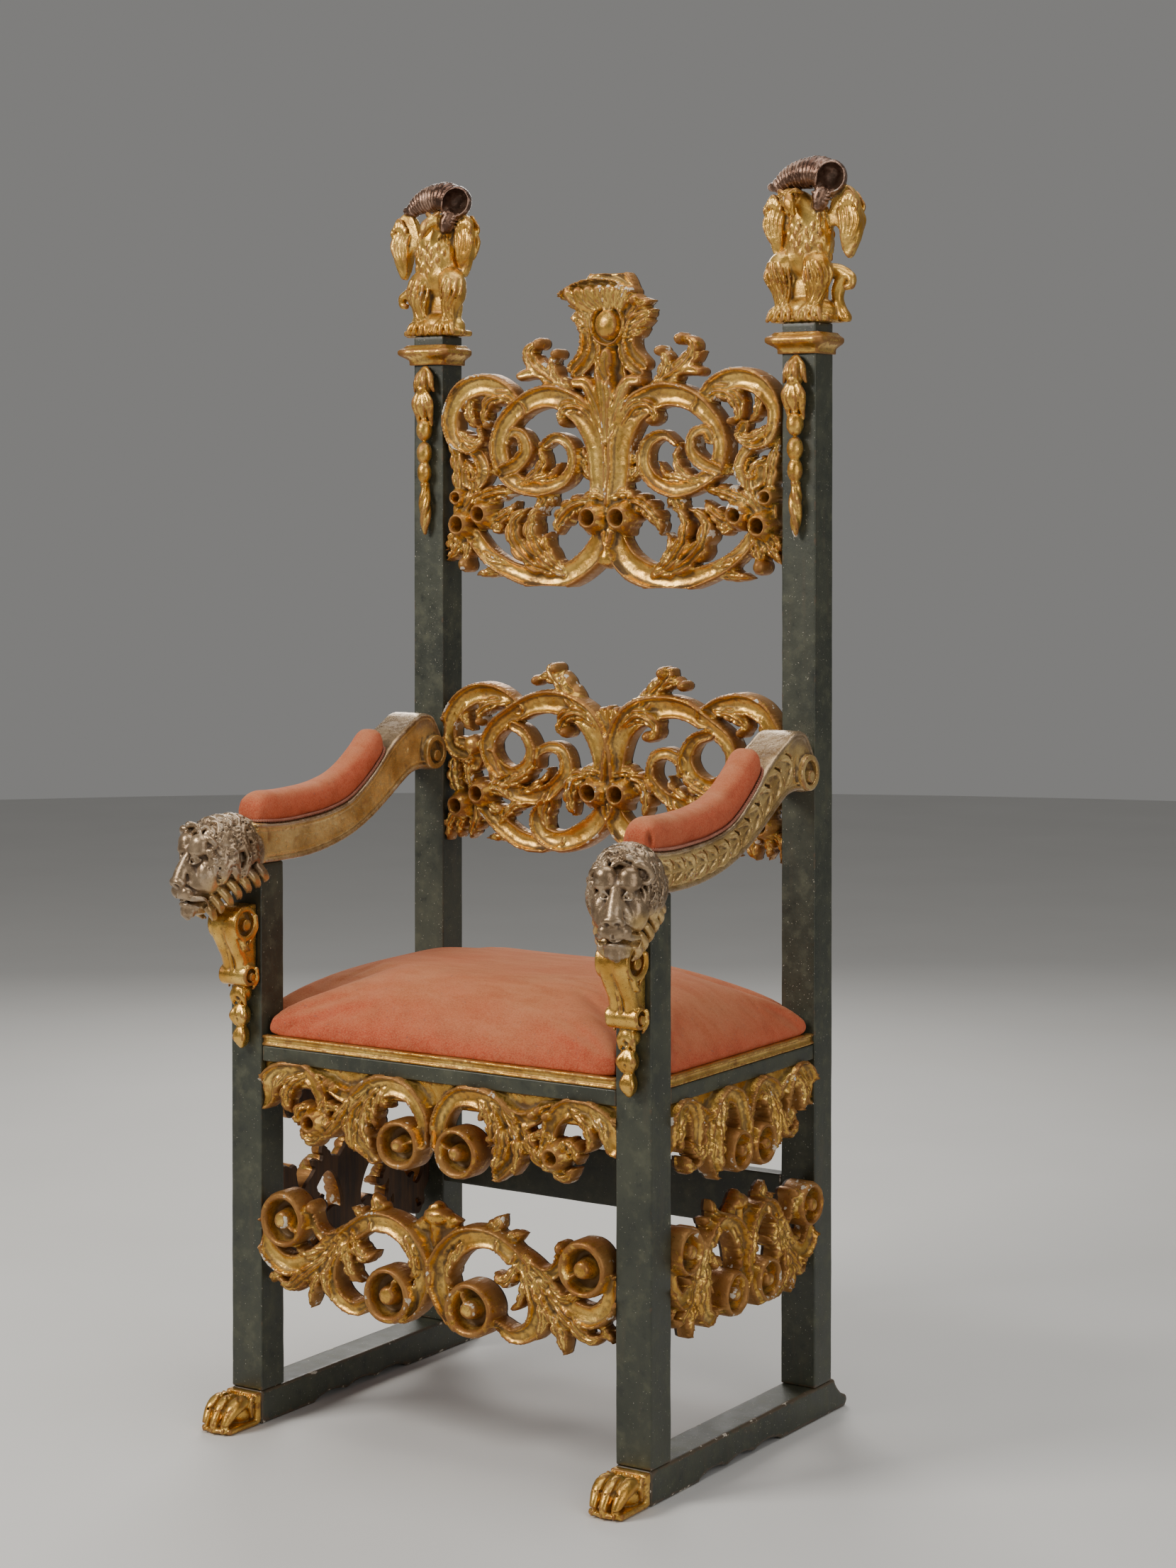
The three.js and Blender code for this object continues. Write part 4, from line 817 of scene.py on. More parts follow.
def greenFinish(name):
    f = Finish(name)
    ridge = f.surface("ridge")
    cloud, mottle, fine = f.noise(7, 4, 0.6), f.noise(48, 5, 0.62), f.noise(260, 3)
    streak = f.noise(20, 4, 0.6, f.stretched((3.2, 3.2, 0.35)))
    base = f.mix(f.between(cloud, 0.35, 0.65), (0.022, 0.026, 0.0165), (0.046, 0.050, 0.031))
    base = f.mix(f.between(mottle, 0.5, 0.72, 0, 0.75), base, (0.080, 0.083, 0.049))
    base = f.mix(f.between(streak, 0.56, 0.74, 0, 0.5), base, (0.062, 0.052, 0.031))
    base = f.mix(f.between(mottle, 0.42, 0.3, 0, 0.7), base, (0.012, 0.015, 0.011))
    rub = f.sum(ridge, f.between(f.noise(70, 4), 0.3, 0.7, -0.6, 0.5))
    base = f.mix(f.between(rub, 0.5, 0.8, 0, 0.8), base, (0.085, 0.055, 0.028))
    chips = f.between(f.sum(rub, f.between(f.noise(23, 3), 0.45, 0.75, -0.45, 0.35)), 1.02, 1.08)
    base = f.mix(chips, base, (0.55, 0.50, 0.41))
    specks = f.between(f.noise(410, 1, 0.4), 0.735, 0.76)
    base = f.mix(f.times(specks, 0.6), base, (0.42, 0.39, 0.31))
    roughness = f.sum(f.between(mottle, 0.3, 0.7, 0.40, 0.58), f.times(chips, 0.3))
    bumps = f.sum(f.times(mottle, 0.5), f.times(fine, 0.3))
    bumps = f.sum(bumps, f.times(streak, 0.5))
    return f.finish(base, roughness, 0.0, bumps, 0.0009, 0.6, {"Specular IOR Level": 0.5, "Coat Weight": 0.12,
                                                              "Coat Roughness": 0.3})


paleLook = {**giltLook, "bright": (0.78, 0.55, 0.22), "deep": (0.46, 0.28, 0.09), "wearFrom": 0.62}
silverLook = {**giltLook, "bright": (0.42, 0.30, 0.185), "deep": (0.18, 0.115, 0.062), "bole": (0.40, 0.32, 0.235)}
shellLook = {**giltLook, "bright": (0.20, 0.115, 0.075), "deep": (0.085, 0.042, 0.028), "bole": (0.42, 0.27, 0.20)}


def velvetFinish(name, rubbed=0.75):
    f = Finish(name)
    tone, hollow = f.surface("tone"), f.surface("hollow")
    cloud, mottle = f.noise(9, 4, 0.6), f.noise(38, 5, 0.65)
    pile = f.noise(420, 4, 0.7, f.stretched((1, 2.6, 1)), 0.5)
    streak = f.noise(15, 4, 0.6, f.stretched((1.0, 3.4, 1.0)), 0.6)
    fresh = f.mix(f.between(mottle, 0.35, 0.65), (0.40, 0.058, 0.022), (0.54, 0.10, 0.042))
    faded = f.mix(f.between(streak, 0.35, 0.65), (0.41, 0.135, 0.055), (0.49, 0.20, 0.095))
    share = f.sum(f.times(tone, rubbed), f.between(cloud, 0.3, 0.7, -0.22, 0.26), "ADD", True)
    colour = f.mix(share, fresh, faded)
    colour = f.mix(f.between(pile, 0.42, 0.66, 0, 0.42), colour, (0.54, 0.25, 0.13))
    colour = f.mix(f.between(pile, 0.5, 0.3, 0, 0.5), colour, (0.27, 0.06, 0.03))
    colour = f.mix(f.between(mottle, 0.55, 0.75, 0, 0.35), colour, (0.36, 0.12, 0.07))
    # painted shade darkens the velvet in its hollows and folds
    colour = f.mix(f.between(hollow, 0.15, 0.8, 0, 0.7), colour, (0.20, 0.045, 0.03))
    colour = f.mix(f.between(f.noise(260, 1, 0.4), 0.72, 0.75, 0, 0.5), colour, (0.18, 0.10, 0.08))
    bumps = f.sum(f.times(pile, 0.7), f.times(mottle, 0.4))
    return f.finish(colour, 0.88, 0.0, bumps, 0.0012, 0.5, {"Sheen Weight": 0.08, "Sheen Roughness": 0.4,
                                                           "Sheen Tint": (1.0, 0.62, 0.45, 1),
                                                           "Specular IOR Level": 0.2})


def braidFinish(name):
    f = Finish(name)
    ridge, fine = f.surface("ridge"), f.noise(700, 2)
    colour = f.mix(f.between(f.noise(60, 3), 0.35, 0.65), (0.50, 0.20, 0.12), (0.66, 0.36, 0.24))
    # painted shade darkens the grooves between the twisted strands
    colour = f.mix(f.between(ridge, 0.0, -0.8, 0, 0.8), colour, (0.22, 0.06, 0.035))
    return f.finish(colour, 0.8, 0.0, fine, 0.0008, 0.6)


gilt = giltFinish("aged gold leaf", giltLook)
giltWorn = giltFinish("rubbed gold leaf", giltLook, wear=0.22, hollowShadeReach=0.06)
carvedBack = plainWood("plain carved back")
green = greenFinish("dark green paint")
giltBright = giltFinish("bright gold leaf", giltLook, wear=-0.05, gloss=0.04)
armSurface = giltFinish("tarnished silver and gold leaf", paleLook, 0.0, 0.14, 0.66, 0.04, silverLook)
eagleSurface = giltFinish("gold leaf and dark shell", shellLook, 0.1, 0.04, 0.85, 0.0, giltLook)
velvet = velvetFinish("faded coral velvet")
braid = braidFinish("twisted braid")
print("finishes mixed")


def carvedPiece(node, board, place):
    points, faces, kinds = board.mesh()
    placed = place(points[:, 0], points[:, 1], points[:, 2])
    if node.startswith("left_"):
        faces = faces[:, ::-1]
    piece = makePiece("carved_" + node, placed, faces, [gilt, carvedBack], node,
                      kinds=kinds, relief=(5, 90, 0.5, 5.0),
                      share=carvedSizes["meshShare"])
    for polygon in piece.data.polygons:
        polygon.use_smooth = polygon.material_index == 0
    return piece


carvedSizes = {"cell": 1.7, "backSetback": 30, "apronSetback": 26, "stretcherSetback": 27,
               "sideSqueeze": 0.65, "texture": 0.3, "meshShare": 0.64, "upperBase": 1140, "upperHeight": 446,
               "lowerBase": 758, "lowerHeight": 276, "apronBase": 385, "apronHeight": 113.3, "apronBoard": 80,
               "boardDepth": 16.0, "stretcherBase": 169, "sideStretcherBase": 187, "stretcherHeight": 172}


def frontPlace(back, base):
    return lambda u, v, h: np.column_stack([u, back - h, base + v])


def sidePlace(way, setback, base):
    return lambda u, v, h: np.column_stack([way * (halfWidth - setback + h), sideMiddle + u, base + v])


def carveAll():
    cell = carvedSizes["cell"] * 1
    clear = clearHalf - jointGap
    back = rearFace + carvedSizes["backSetback"]
    upper = Board(clear, 0, carvedSizes["upperHeight"], cell, 1, 11)
    upperDesign(upper)
    cartoucheDesign(upper)
    upper.finish(texture=carvedSizes["texture"], seed=21)
    carvedPiece("upper_back_panel", upper, frontPlace(back, carvedSizes["upperBase"]))
    lower = Board(clear, -4, carvedSizes["lowerHeight"], cell, 1, 12)
    lowerDesign(lower)
    lower.finish(texture=carvedSizes["texture"], seed=22)
    carvedPiece("lower_back_panel", lower, frontPlace(back, carvedSizes["lowerBase"]))
    print("back panels carved")
    for name, design, seed in (("apron", apronDesign, 31), ("stretcher", stretcherDesign, 41)):
        setback, base, top = (carvedSizes[name + word] for word in ("Setback", "Base", "Height"))
        board = Board(clear, -6, top, cell, 1, seed)
        design(board, True)
        if name == "apron":
            apronRail(board)
        board.finish(texture=carvedSizes["texture"], seed=seed + 1)
        carvedPiece("front_" + name, board, frontPlace(setback, base))
        sideBase = base if name == "apron" else carvedSizes["sideStretcherBase"]
        for side, way in (("left", -1), ("right", 1)):
            board = Board((rearFace - postDepth) / 2 - jointGap, -6, top, cell, carvedSizes["sideSqueeze"],
                          seed + 3 + way)
            design(board, False)
            if name == "apron":
                apronRail(board)
            board.finish(texture=carvedSizes["texture"], seed=seed + 5 + way)
            carvedPiece(side + "_" + name, board, sidePlace(way, setback, sideBase))
    print("aprons and stretchers carved")


def apronRail(board):
    # the flat gilt board that the apron hangs from
    low, high = carvedSizes["apronBoard"], carvedSizes["apronHeight"] + 2
    top = board.v > low
    within = np.maximum(board.inside, np.minimum(board.v - low, high - board.v))
    board.height = np.where(top, np.maximum(board.height, carvedSizes["boardDepth"]), board.height)
    board.inside = np.where(top, within, board.inside)


carveAll()


# Square timber: posts, rails and the back stretcher
def drawnBox(node):
    low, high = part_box(node)
    return (np.array(low) - [0, frontFace, 0]) * 1000, (np.array(high) - [0, frontFace, 0]) * 1000


def timberRing(halfA, halfB, radius):
    ring = []
    corners = ((1, 1), (-1, 1), (-1, -1), (1, -1))
    for k, (sa, sb) in enumerate(corners):
        centre = np.array([sa * (halfA - radius), sb * (halfB - radius)])
        for part in range(4):
            angle = math.pi / 2 * (k + part / 3)
            ring.append(centre + radius * np.array([math.cos(angle), math.sin(angle)]))
        following = np.array([corners[(k + 1) % 4][0] * (halfA - radius), corners[(k + 1) % 4][1] * (halfB - radius)])
        end = following + radius * np.array([math.cos(math.pi / 2 * (k + 1)), math.sin(math.pi / 2 * (k + 1))])
        start = ring[-1]
        length = np.linalg.norm(end - start)
        way = (end - start) / length
        for gap in (2.2, 8, length / 2, length - 8, length - 2.2):
            ring.append(start + way * gap)
    return np.array(ring)


def tube(rings, capStart=True, capEnd=True):
    rings = np.asarray(rings, float)
    count, sides = rings.shape[:2]
    index = np.arange(count * sides).reshape(count, sides)
    nextOne = np.roll(index, -1, axis=1)
    faces = np.stack([index[:-1], nextOne[:-1], nextOne[1:], index[1:]], -1).reshape(-1, 4).tolist()
    if capStart:
        faces.append(index[0, ::-1].tolist())
    if capEnd:
        faces.append(index[-1].tolist())
    return rings.reshape(-1, 3), faces


timberLook = {"edge": 1.8, "wobble": 0.22, "ringStep": 12}


def timber(node):
    low, high = drawnBox(node)
    size = high - low
    axis = int(np.argmax(size))
    others = [k for k in range(3) if k != axis]
    if axis == 1:
        others = others[::-1]
    edge = timberLook["edge"]
    ring = timberRing(size[others[0]] / 2, size[others[1]] / 2, edge)
    count = max(6, int(size[axis] / timberLook["ringStep"]))
    stops = np.concatenate([[0, 0.5, edge], np.linspace(6, size[axis] - 6, count),
                            size[axis] - np.array([edge, 0.5, 0])])
    rings = []
    middle = (low + high) / 2
    for stop in stops:
        end = min(stop, size[axis] - stop)
        shrink = edge - math.sqrt(max(0, edge ** 2 - (edge - min(edge, end)) ** 2))
        points = np.zeros((len(ring), 3))
        for k, other in enumerate(others):
            half = size[other] / 2
            points[:, other] = middle[other] + ring[:, k] * (half - shrink) / half
        points[:, axis] = low[axis] + stop
        rings.append(points)
    points, faces = tube(rings)
    wobble = timberLook["wobble"] * ripple(len(node) * 7 + axis, 70, *(points.T)) - timberLook["wobble"]
    outward = points - middle
    outward[:, axis] = 0
    outward /= np.maximum(1e-6, np.abs(outward).max(1, keepdims=True))
    points = points + outward * np.clip(wobble, -0.8, 0)[:, None]
    return makePiece("timber_" + node, points, faces, [green], node,
                     relief=(1, 6, 0.2, 4.0))


for node in ("left_front_post", "right_front_post", "left_rear_post", "right_rear_post", "front_seat_rail",
             "back_seat_rail", "left_seat_rail", "right_seat_rail", "back_stretcher"):
    timber(node)
print("timber frame made")


# Sculpted pieces: soft forms joined and cut in a block of fine cells, then skinned
def roundedEdge(a, b, edge):
    a, b = a + edge, b + edge
    return np.minimum(np.maximum(a, b), 0) + np.sqrt(np.maximum(a, 0) ** 2 + np.maximum(b, 0) ** 2) - edge


def outlineDistance(outline, a, b):
    outline = np.asarray(outline, float)
    best = np.full(np.broadcast(a, b).shape, 1e9)
    inside = np.zeros(best.shape, bool)
    for p, q in zip(outline, np.roll(outline, -1, axis=0)):
        run = q - p
        share = np.clip(((a - p[0]) * run[0] + (b - p[1]) * run[1]) / (run @ run), 0, 1)
        best = np.minimum(best, (a - p[0] - share * run[0]) ** 2 + (b - p[1] - share * run[1]) ** 2)
        if p[1] != q[1]:
            inside ^= ((p[1] > b) != (q[1] > b)) & (a < run[0] * (b - p[1]) / run[1] + p[0])
    return np.where(inside, -1, 1) * np.sqrt(best)


class Clay:
    def __init__(self, low, high, cell):
        self.cell = cell * 1
        self.low = np.asarray(low, float)
        self.axes = [np.arange(low[k], high[k] + self.cell, self.cell) for k in range(3)]
        self.field = np.full([len(axis) for axis in self.axes], 40.0, np.float32)
        self.tone = np.zeros(self.field.shape, np.float32)
        self.paint = 0.0
        self.place((0, 0, 0))

    def place(self, origin, turn=0.0, hand=1):
        # what follows is given from this origin, turned about the upright axis, mirrored if hand is -1
        self.origin = np.asarray(origin, float)
        self.hand = hand
        c, s = math.cos(turn), math.sin(turn)
        self.turned = np.array([[c, -s, 0], [s, c, 0], [0, 0, 1]])

    def at(self, points):
        return np.asarray(points, float) * [self.hand, 1, 1] @ self.turned.T + self.origin

    def near(self, low, high):
        cuts = []
        for k in range(3):
            size = len(self.axes[k])
            a = min(size, max(0, int((low[k] - self.low[k]) / self.cell)))
            b = min(size, max(a, int((high[k] - self.low[k]) / self.cell) + 2))
            cuts.append(slice(a, b))
        return tuple(cuts), np.meshgrid(*(self.axes[k][cuts[k]] for k in range(3)), indexing="ij", sparse=True)

    def press(self, where, distance, blend, cut):
        old = self.field[where]
        if old.size == 0:
            return
        if cut:
            old = -old
        else:
            self.tone[where] = np.where(distance < old, self.paint, self.tone[where])
        share = np.clip(0.5 + 0.5 * (old - distance) / blend, 0, 1)
        new = old + (distance - old) * share - blend * share * (1 - share)
        self.field[where] = -new if cut else new

    def ball(self, centre, radii, blend=2.0, spin=(0, 0, 0), cut=False):
        centre = self.at(centre)
        radii = np.asarray(radii, float) * np.ones(3)
        reach = radii.max() + blend + 2 * self.cell
        where, (x, y, z) = self.near(centre - reach, centre + reach)
        spin = (spin[0], spin[1] * self.hand, spin[2] * self.hand)
        turned = self.turned @ np.array(Euler(spin).to_matrix())
        x, y, z = x - centre[0], y - centre[1], z - centre[2]
        local = [turned[0, k] * x + turned[1, k] * y + turned[2, k] * z for k in range(3)]
        share = np.maximum(1e-3, np.sqrt(sum((local[k] / radii[k]) ** 2 for k in range(3))))
        slope = np.sqrt(sum((local[k] / radii[k] ** 2) ** 2 for k in range(3))) + 1e-6
        self.press(where, share * (share - 1) / slope, blend, cut)

    def limb(self, path, radii, blend=2.0, cut=False):
        points = self.at(path)
        if len(points) > 2:
            points = curveThrough(points, max(1.6, self.cell))
        gone = np.concatenate([[0], np.cumsum(np.linalg.norm(np.diff(points, axis=0), axis=1))])
        radius = spread(radii, gone / gone[-1])
        reach = radius.max() + blend + 2 * self.cell
        where = self.near(points.min(0) - reach, points.max(0) + reach)[0]
        best = np.full(self.field[where].shape, 40.0, np.float32)
        if best.size == 0:
            return
        for k in range(len(points) - 1):
            a, run = points[k], points[k + 1] - points[k]
            high = np.maximum(points[k], points[k + 1]) + reach
            part, (x, y, z) = self.near(np.minimum(points[k], points[k + 1]) - reach, high)
            inner = tuple(slice(p.start - w.start, p.stop - w.start) for p, w in zip(part, where))
            x, y, z = x - a[0], y - a[1], z - a[2]
            share = np.clip((x * run[0] + y * run[1] + z * run[2]) / (run @ run), 0, 1)
            away = np.sqrt((x - share * run[0]) ** 2 + (y - share * run[1]) ** 2 + (z - share * run[2]) ** 2)
            best[inner] = np.minimum(best[inner], away - radius[k] - (radius[k + 1] - radius[k]) * share)
        self.press(where, best, blend, cut)

    def plate(self, outline, low, high, edge=2.0, blend=2.0, cut=False, axis=0):
        # an outline in (y, z), or in (x, z) when axis is 1, with its thickness along the axis
        other = 1 - axis
        outline = np.asarray(outline, float) * [self.hand if axis else 1, 1] + [self.origin[other], self.origin[2]]
        low, high = low + self.origin[axis], high + self.origin[axis]
        reach = blend + edge + 2 * self.cell
        corner = [outline[:, 0].min() - reach, outline[:, 1].min() - reach]
        far = [outline[:, 0].max() + reach, outline[:, 1].max() + reach]
        start = [0, 0, corner[1]]
        end = [0, 0, far[1]]
        start[axis], end[axis] = low - reach, high + reach
        start[other], end[other] = corner[0], far[0]
        where, grids = self.near(start, end)
        flat = outlineDistance(outline, grids[other], grids[2])
        through = np.abs(grids[axis] - (low + high) / 2) - (high - low) / 2
        self.press(where, roundedEdge(flat, through, edge), blend, cut)

    def drum(self, middle, radius, low, high, edge=2.0, blend=2.0, cut=False):
        y0, z0 = middle[0] + self.origin[1], middle[1] + self.origin[2]
        low, high = low + self.origin[0], high + self.origin[0]
        reach = radius + blend + 2 * self.cell
        where, (x, y, z) = self.near([low - reach, y0 - reach, z0 - reach], [high + reach, y0 + reach, z0 + reach])
        flat = np.hypot(y - y0, z - z0) - radius
        self.press(where, roundedEdge(flat, np.abs(x - (low + high) / 2) - (high - low) / 2, edge), blend, cut)

    def slab(self, low, high, edge=0.5, blend=0.5, cut=False):
        low = np.asarray(low, float) + self.origin
        high = np.asarray(high, float) + self.origin
        reach = blend + edge + 2 * self.cell
        where, grids = self.near(low - reach, high + reach)
        away = [np.abs(grids[k] - (low[k] + high[k]) / 2) - (high[k] - low[k]) / 2 + edge for k in range(3)]
        outside = np.sqrt(sum(np.maximum(d, 0) ** 2 for d in away))
        within = np.minimum(np.maximum(np.maximum(away[0], away[1]), away[2]), 0)
        self.press(where, outside + within - edge, blend, cut)

    def groove(self, path, radii, blend):
        self.limb(path, radii, blend, cut=True)

    def dig(self, centre, radii, blend, spin=(0, 0, 0)):
        self.ball(centre, radii, blend, spin, cut=True)

    def clear(self, low, high):
        # room for a neighbouring piece
        self.slab(low, high, 0, 0.3, cut=True)

    def roughen(self, amount, wavelength, seed):
        x, y, z = np.meshgrid(*self.axes, indexing="ij", sparse=True)
        close = np.abs(self.field) < 3
        self.field = np.where(close, self.field + amount * ripple(seed, wavelength, x, y, z),
                              self.field).astype(np.float32)

    def skin(self):
        f = self.field
        for axis in range(3):
            for end in (0, -1):
                border = [slice(None)] * 3
                border[axis] = end
                f[tuple(border)] = np.maximum(f[tuple(border)], 0.5)
        f = np.where(np.abs(f) < 1e-4, 1e-4, f)
        inside = f < 0
        count = np.zeros([n - 1 for n in f.shape], np.int8)
        steps = [(i, j, k) for i in (0, 1) for j in (0, 1) for k in (0, 1)]
        for i, j, k in steps:
            count += inside[i:f.shape[0] - 1 + i, j:f.shape[1] - 1 + j, k:f.shape[2] - 1 + k]
        mixed = (count > 0) & (count < 8)
        cells = np.stack(np.nonzero(mixed), 1)
        value = {s: f[cells[:, 0] + s[0], cells[:, 1] + s[1], cells[:, 2] + s[2]] for s in steps}
        total, number = np.zeros((len(cells), 3)), np.zeros(len(cells))
        for s in steps:
            for axis in range(3):
                if s[axis]:
                    continue
                e = tuple(v + (k == axis) for k, v in enumerate(s))
                crossed = (value[s] < 0) != (value[e] < 0)
                share = np.where(crossed, value[s] / np.where(crossed, value[s] - value[e], 1), 0)
                total += crossed[:, None] * np.array(s, float)
                total[:, axis] += share
                number += crossed
        points = (cells + total / number[:, None]) * self.cell + self.low
        tones = sum(self.tone[cells[:, 0] + s[0], cells[:, 1] + s[1], cells[:, 2] + s[2]] for s in steps) / 8
        index = np.full(mixed.shape, -1)
        index[mixed] = np.arange(len(cells))
        quads = []
        for axis in range(3):
            low = [slice(None)] * 3
            high = [slice(None)] * 3
            low[axis], high[axis] = slice(0, -1), slice(1, None)
            low, high = inside[tuple(low)], inside[tuple(high)]
            at = np.stack(np.nonzero(low != high), 1)
            leaves = low[tuple(at.T)]
            b, c = (axis + 1) % 3, (axis + 2) % 3
            ring = []
            for db, dc in ((1, 1), (0, 1), (0, 0), (1, 0)):
                cell = at.copy()
                cell[:, b] -= db
                cell[:, c] -= dc
                ring.append(index[tuple(cell.T)])
            ring = np.stack(ring, 1)
            quads.append(np.where(leaves[:, None], ring, ring[:, ::-1]))
        faces = np.vstack(quads)
        points, faces, tones = dropCrumbs(points, faces, tones)
        edges = np.vstack([faces[:, [0, 1]], faces[:, [1, 2]], faces[:, [2, 3]], faces[:, [3, 0]]])
        return neighbourMean(points, edges, 1), faces, tones


def dropCrumbs(points, faces, tones):
    # loose bits that a cut has left are dropped
    label = np.arange(len(points))
    while True:
        lowest = label[faces].min(1)
        new = label.copy()
        for k in range(4):
            np.minimum.at(new, faces[:, k], lowest)
        new = new[new]
        if np.array_equal(new, label):
            break
        label = new
    names, sizes = np.unique(label, return_counts=True)
    kept = label == names[np.argmax(sizes)]
    places = np.cumsum(kept) - 1
    faces = places[faces[kept[faces[:, 0]]]]
    return points[kept], faces, tones[kept]


def makePair(clay, node, material, relief, share, retone=None):
    # the modelled right-hand piece, and its twin mirrored for the left
    points, faces, tones = clay.skin()
    if retone:
        tones = retone(points, tones)
    for side, way in (("left", -1), ("right", 1)):
        makePiece("carved_" + side + "_" + node, points * [way, 1, 1], forSide(faces, way), [material],
                  side + "_" + node, relief, tones=tones, share=share)


# A lion's head, seen from its own middle with the face towards -y
lionLook = {"turn": 0.33, "cell": 1.4, "locks": (26, 24, 22, 20, 16), "seed": 4}


def lionHead(c):
    c.ball((0, -34, 10), (39, 36, 46), 3)
    c.ball((0, -42, 30), (36, 32, 34), 6)
    c.ball((0, -6, 16), (36, 26, 44), 6)
    c.ball((0, -54, 0), (34, 34, 48), 6)
    c.ball((0, -66, 8), (28, 26, 36), 4)
    for s in (-1, 1):
        c.ball((s * 15.5, -82, 32), (15.5, 13, 15), 2.5, (0.2, 0, s * 0.15))
        c.ball((s * 22, -71, -10), (14, 18, 25), 5)
    # nose and muzzle
    c.limb([(0, -86, 24), (0, -95, 6), (0, -101, -8), (0, -103, -17)], [6.6, 8.6, 10.6, 12], 3)
    c.ball((0, -86, -26), (22, 20, 16), 5)
    for s in (-1, 1):
        c.limb([(s * 7, -94, 4), (s * 14, -90, -10), (s * 20, -84, -24)], [4, 6, 6.5], 4)
        c.ball((s * 10.5, -100, -31), (11, 9.5, 8.6), 2.5)
        c.limb([(s * 10, -105, -35), (s * 19, -96, -39), (s * 26, -82, -41), (s * 27, -76, -48)], [4.0, 4.6, 4.0, 2], 2)
        c.ball((s * 10.4, -107, -20), (5.6, 5.8, 5.4), 1.2)
    c.ball((0, -110.5, -17.5), (13, 6.5, 6.6), 1.6)
    c.ball((0, -100, -36), (13, 10, 9), 3)
    # jaw, lower lip and beard
    c.ball((0, -80, -54), (17.5, 20, 11), 4)
    c.ball((0, -92, -57), (10.5, 9, 8.5), 3)
    c.limb([(-17, -84, -51), (-8, -97, -49.5), (0, -99.5, -49), (8, -97, -49.5), (17, -84, -51)],
           [3.2, 3.1, 3.0, 3.1, 3.2], 1.4)
    for x, y, tip in ((-11, -90, -67), (-6, -94, -71), (-1, -95.5, -72), (4, -94.5, -71), (9, -91, -68),
                      (13, -86, -64)):
        c.limb([(x, y, -54), (x * 0.95, y - 1.5, -62), (x * 0.5 + 1, y + 4, tip + 2)], [4.4, 4.2, 1.8], 0.9)
    for s in (-1, 1):
        for x, y, z in ((20, -78, -48), (25, -68, -40), (30, -58, -30), (34, -47, -20), (37, -34, -12), (38, -20, -6),
                        (37, -6, 0)):
            for slip, size in ((0, 1.0), (4.5, 0.75)):
                c.limb([(s * x, y + slip, z), (s * (x + 4), y + 7 + slip, z - 10), (s * (x - 1), y + 14 + slip, z - 19),
                        (s * (x - 7), y + 17 + slip, z - 24)], [5.6 * size, 5.4 * size, 4.2 * size, 1.8], 0.9)
    # mouth, nostrils and the creases of the face
    c.groove([(-23, -82, -47), (-12, -100, -43), (0, -105, -41.5), (12, -100, -43), (23, -82, -47)],
           [6.2, 3.6, 2.6, 3.6, 6.2], 1.0)
    for s in (-1, 1):
        c.dig((s * 21.5, -82, -46), (6.4, 9, 5.6), 1.2)
        c.dig((s * 7.0, -113.5, -22.5), (4.0, 5, 3.0), 0.7, (0, s * 0.5, 0))
        c.groove([(s * 13, -101, -22), (s * 19, -93, -29), (s * 24, -82, -36)], [1.5, 2.2, 1.8], 2)
        c.groove([(s * 7.5, -98, -4), (s * 12.5, -99, -15)], [1.3, 1.8], 1.8)
        c.groove([(s * 26, -82, 4), (s * 27, -78, -10), (s * 25, -78, -26)], [1.2, 1.6, 1.4], 2.4)
    c.groove([(0, -112, -26), (0, -110.5, -31), (0, -108, -38)], [1.4, 1.7, 1.6], 1.2)
    c.groove([(0, -76, 54), (0, -91, 42), (0, -96, 26)], [3.0, 4.2, 2.4], 2)
    # eyes deep under the brows
    for s in (-1, 1):
        c.dig((s * 16.5, -95, 12.5), (10, 7.5, 6.4), 1.4, (0, s * -0.25, 0))
        c.ball((s * 16.5, -88.2, 12), (7, 5.6, 5), 0.6)
        c.limb([(s * 8, -92.6, 9.5), (s * 15.5, -93.6, 16), (s * 25, -85, 12.5)], [1.2, 1.7, 1.4], 0.9)
        c.limb([(s * 8.5, -93, 8.5), (s * 16.5, -93.8, 6.6), (s * 24.5, -86, 11)], [1.3, 1.8, 1.4], 0.9)
        c.ball((s * 15.5, -84.5, 25.5), (15, 12.5, 8.5), 3, (0.3, s * 0.12, s * 0.2))
        c.dig((s * 16.1, -94.2, 12), (2.0, 2.6, 2.0), 0.4)
    maneLocks(c)


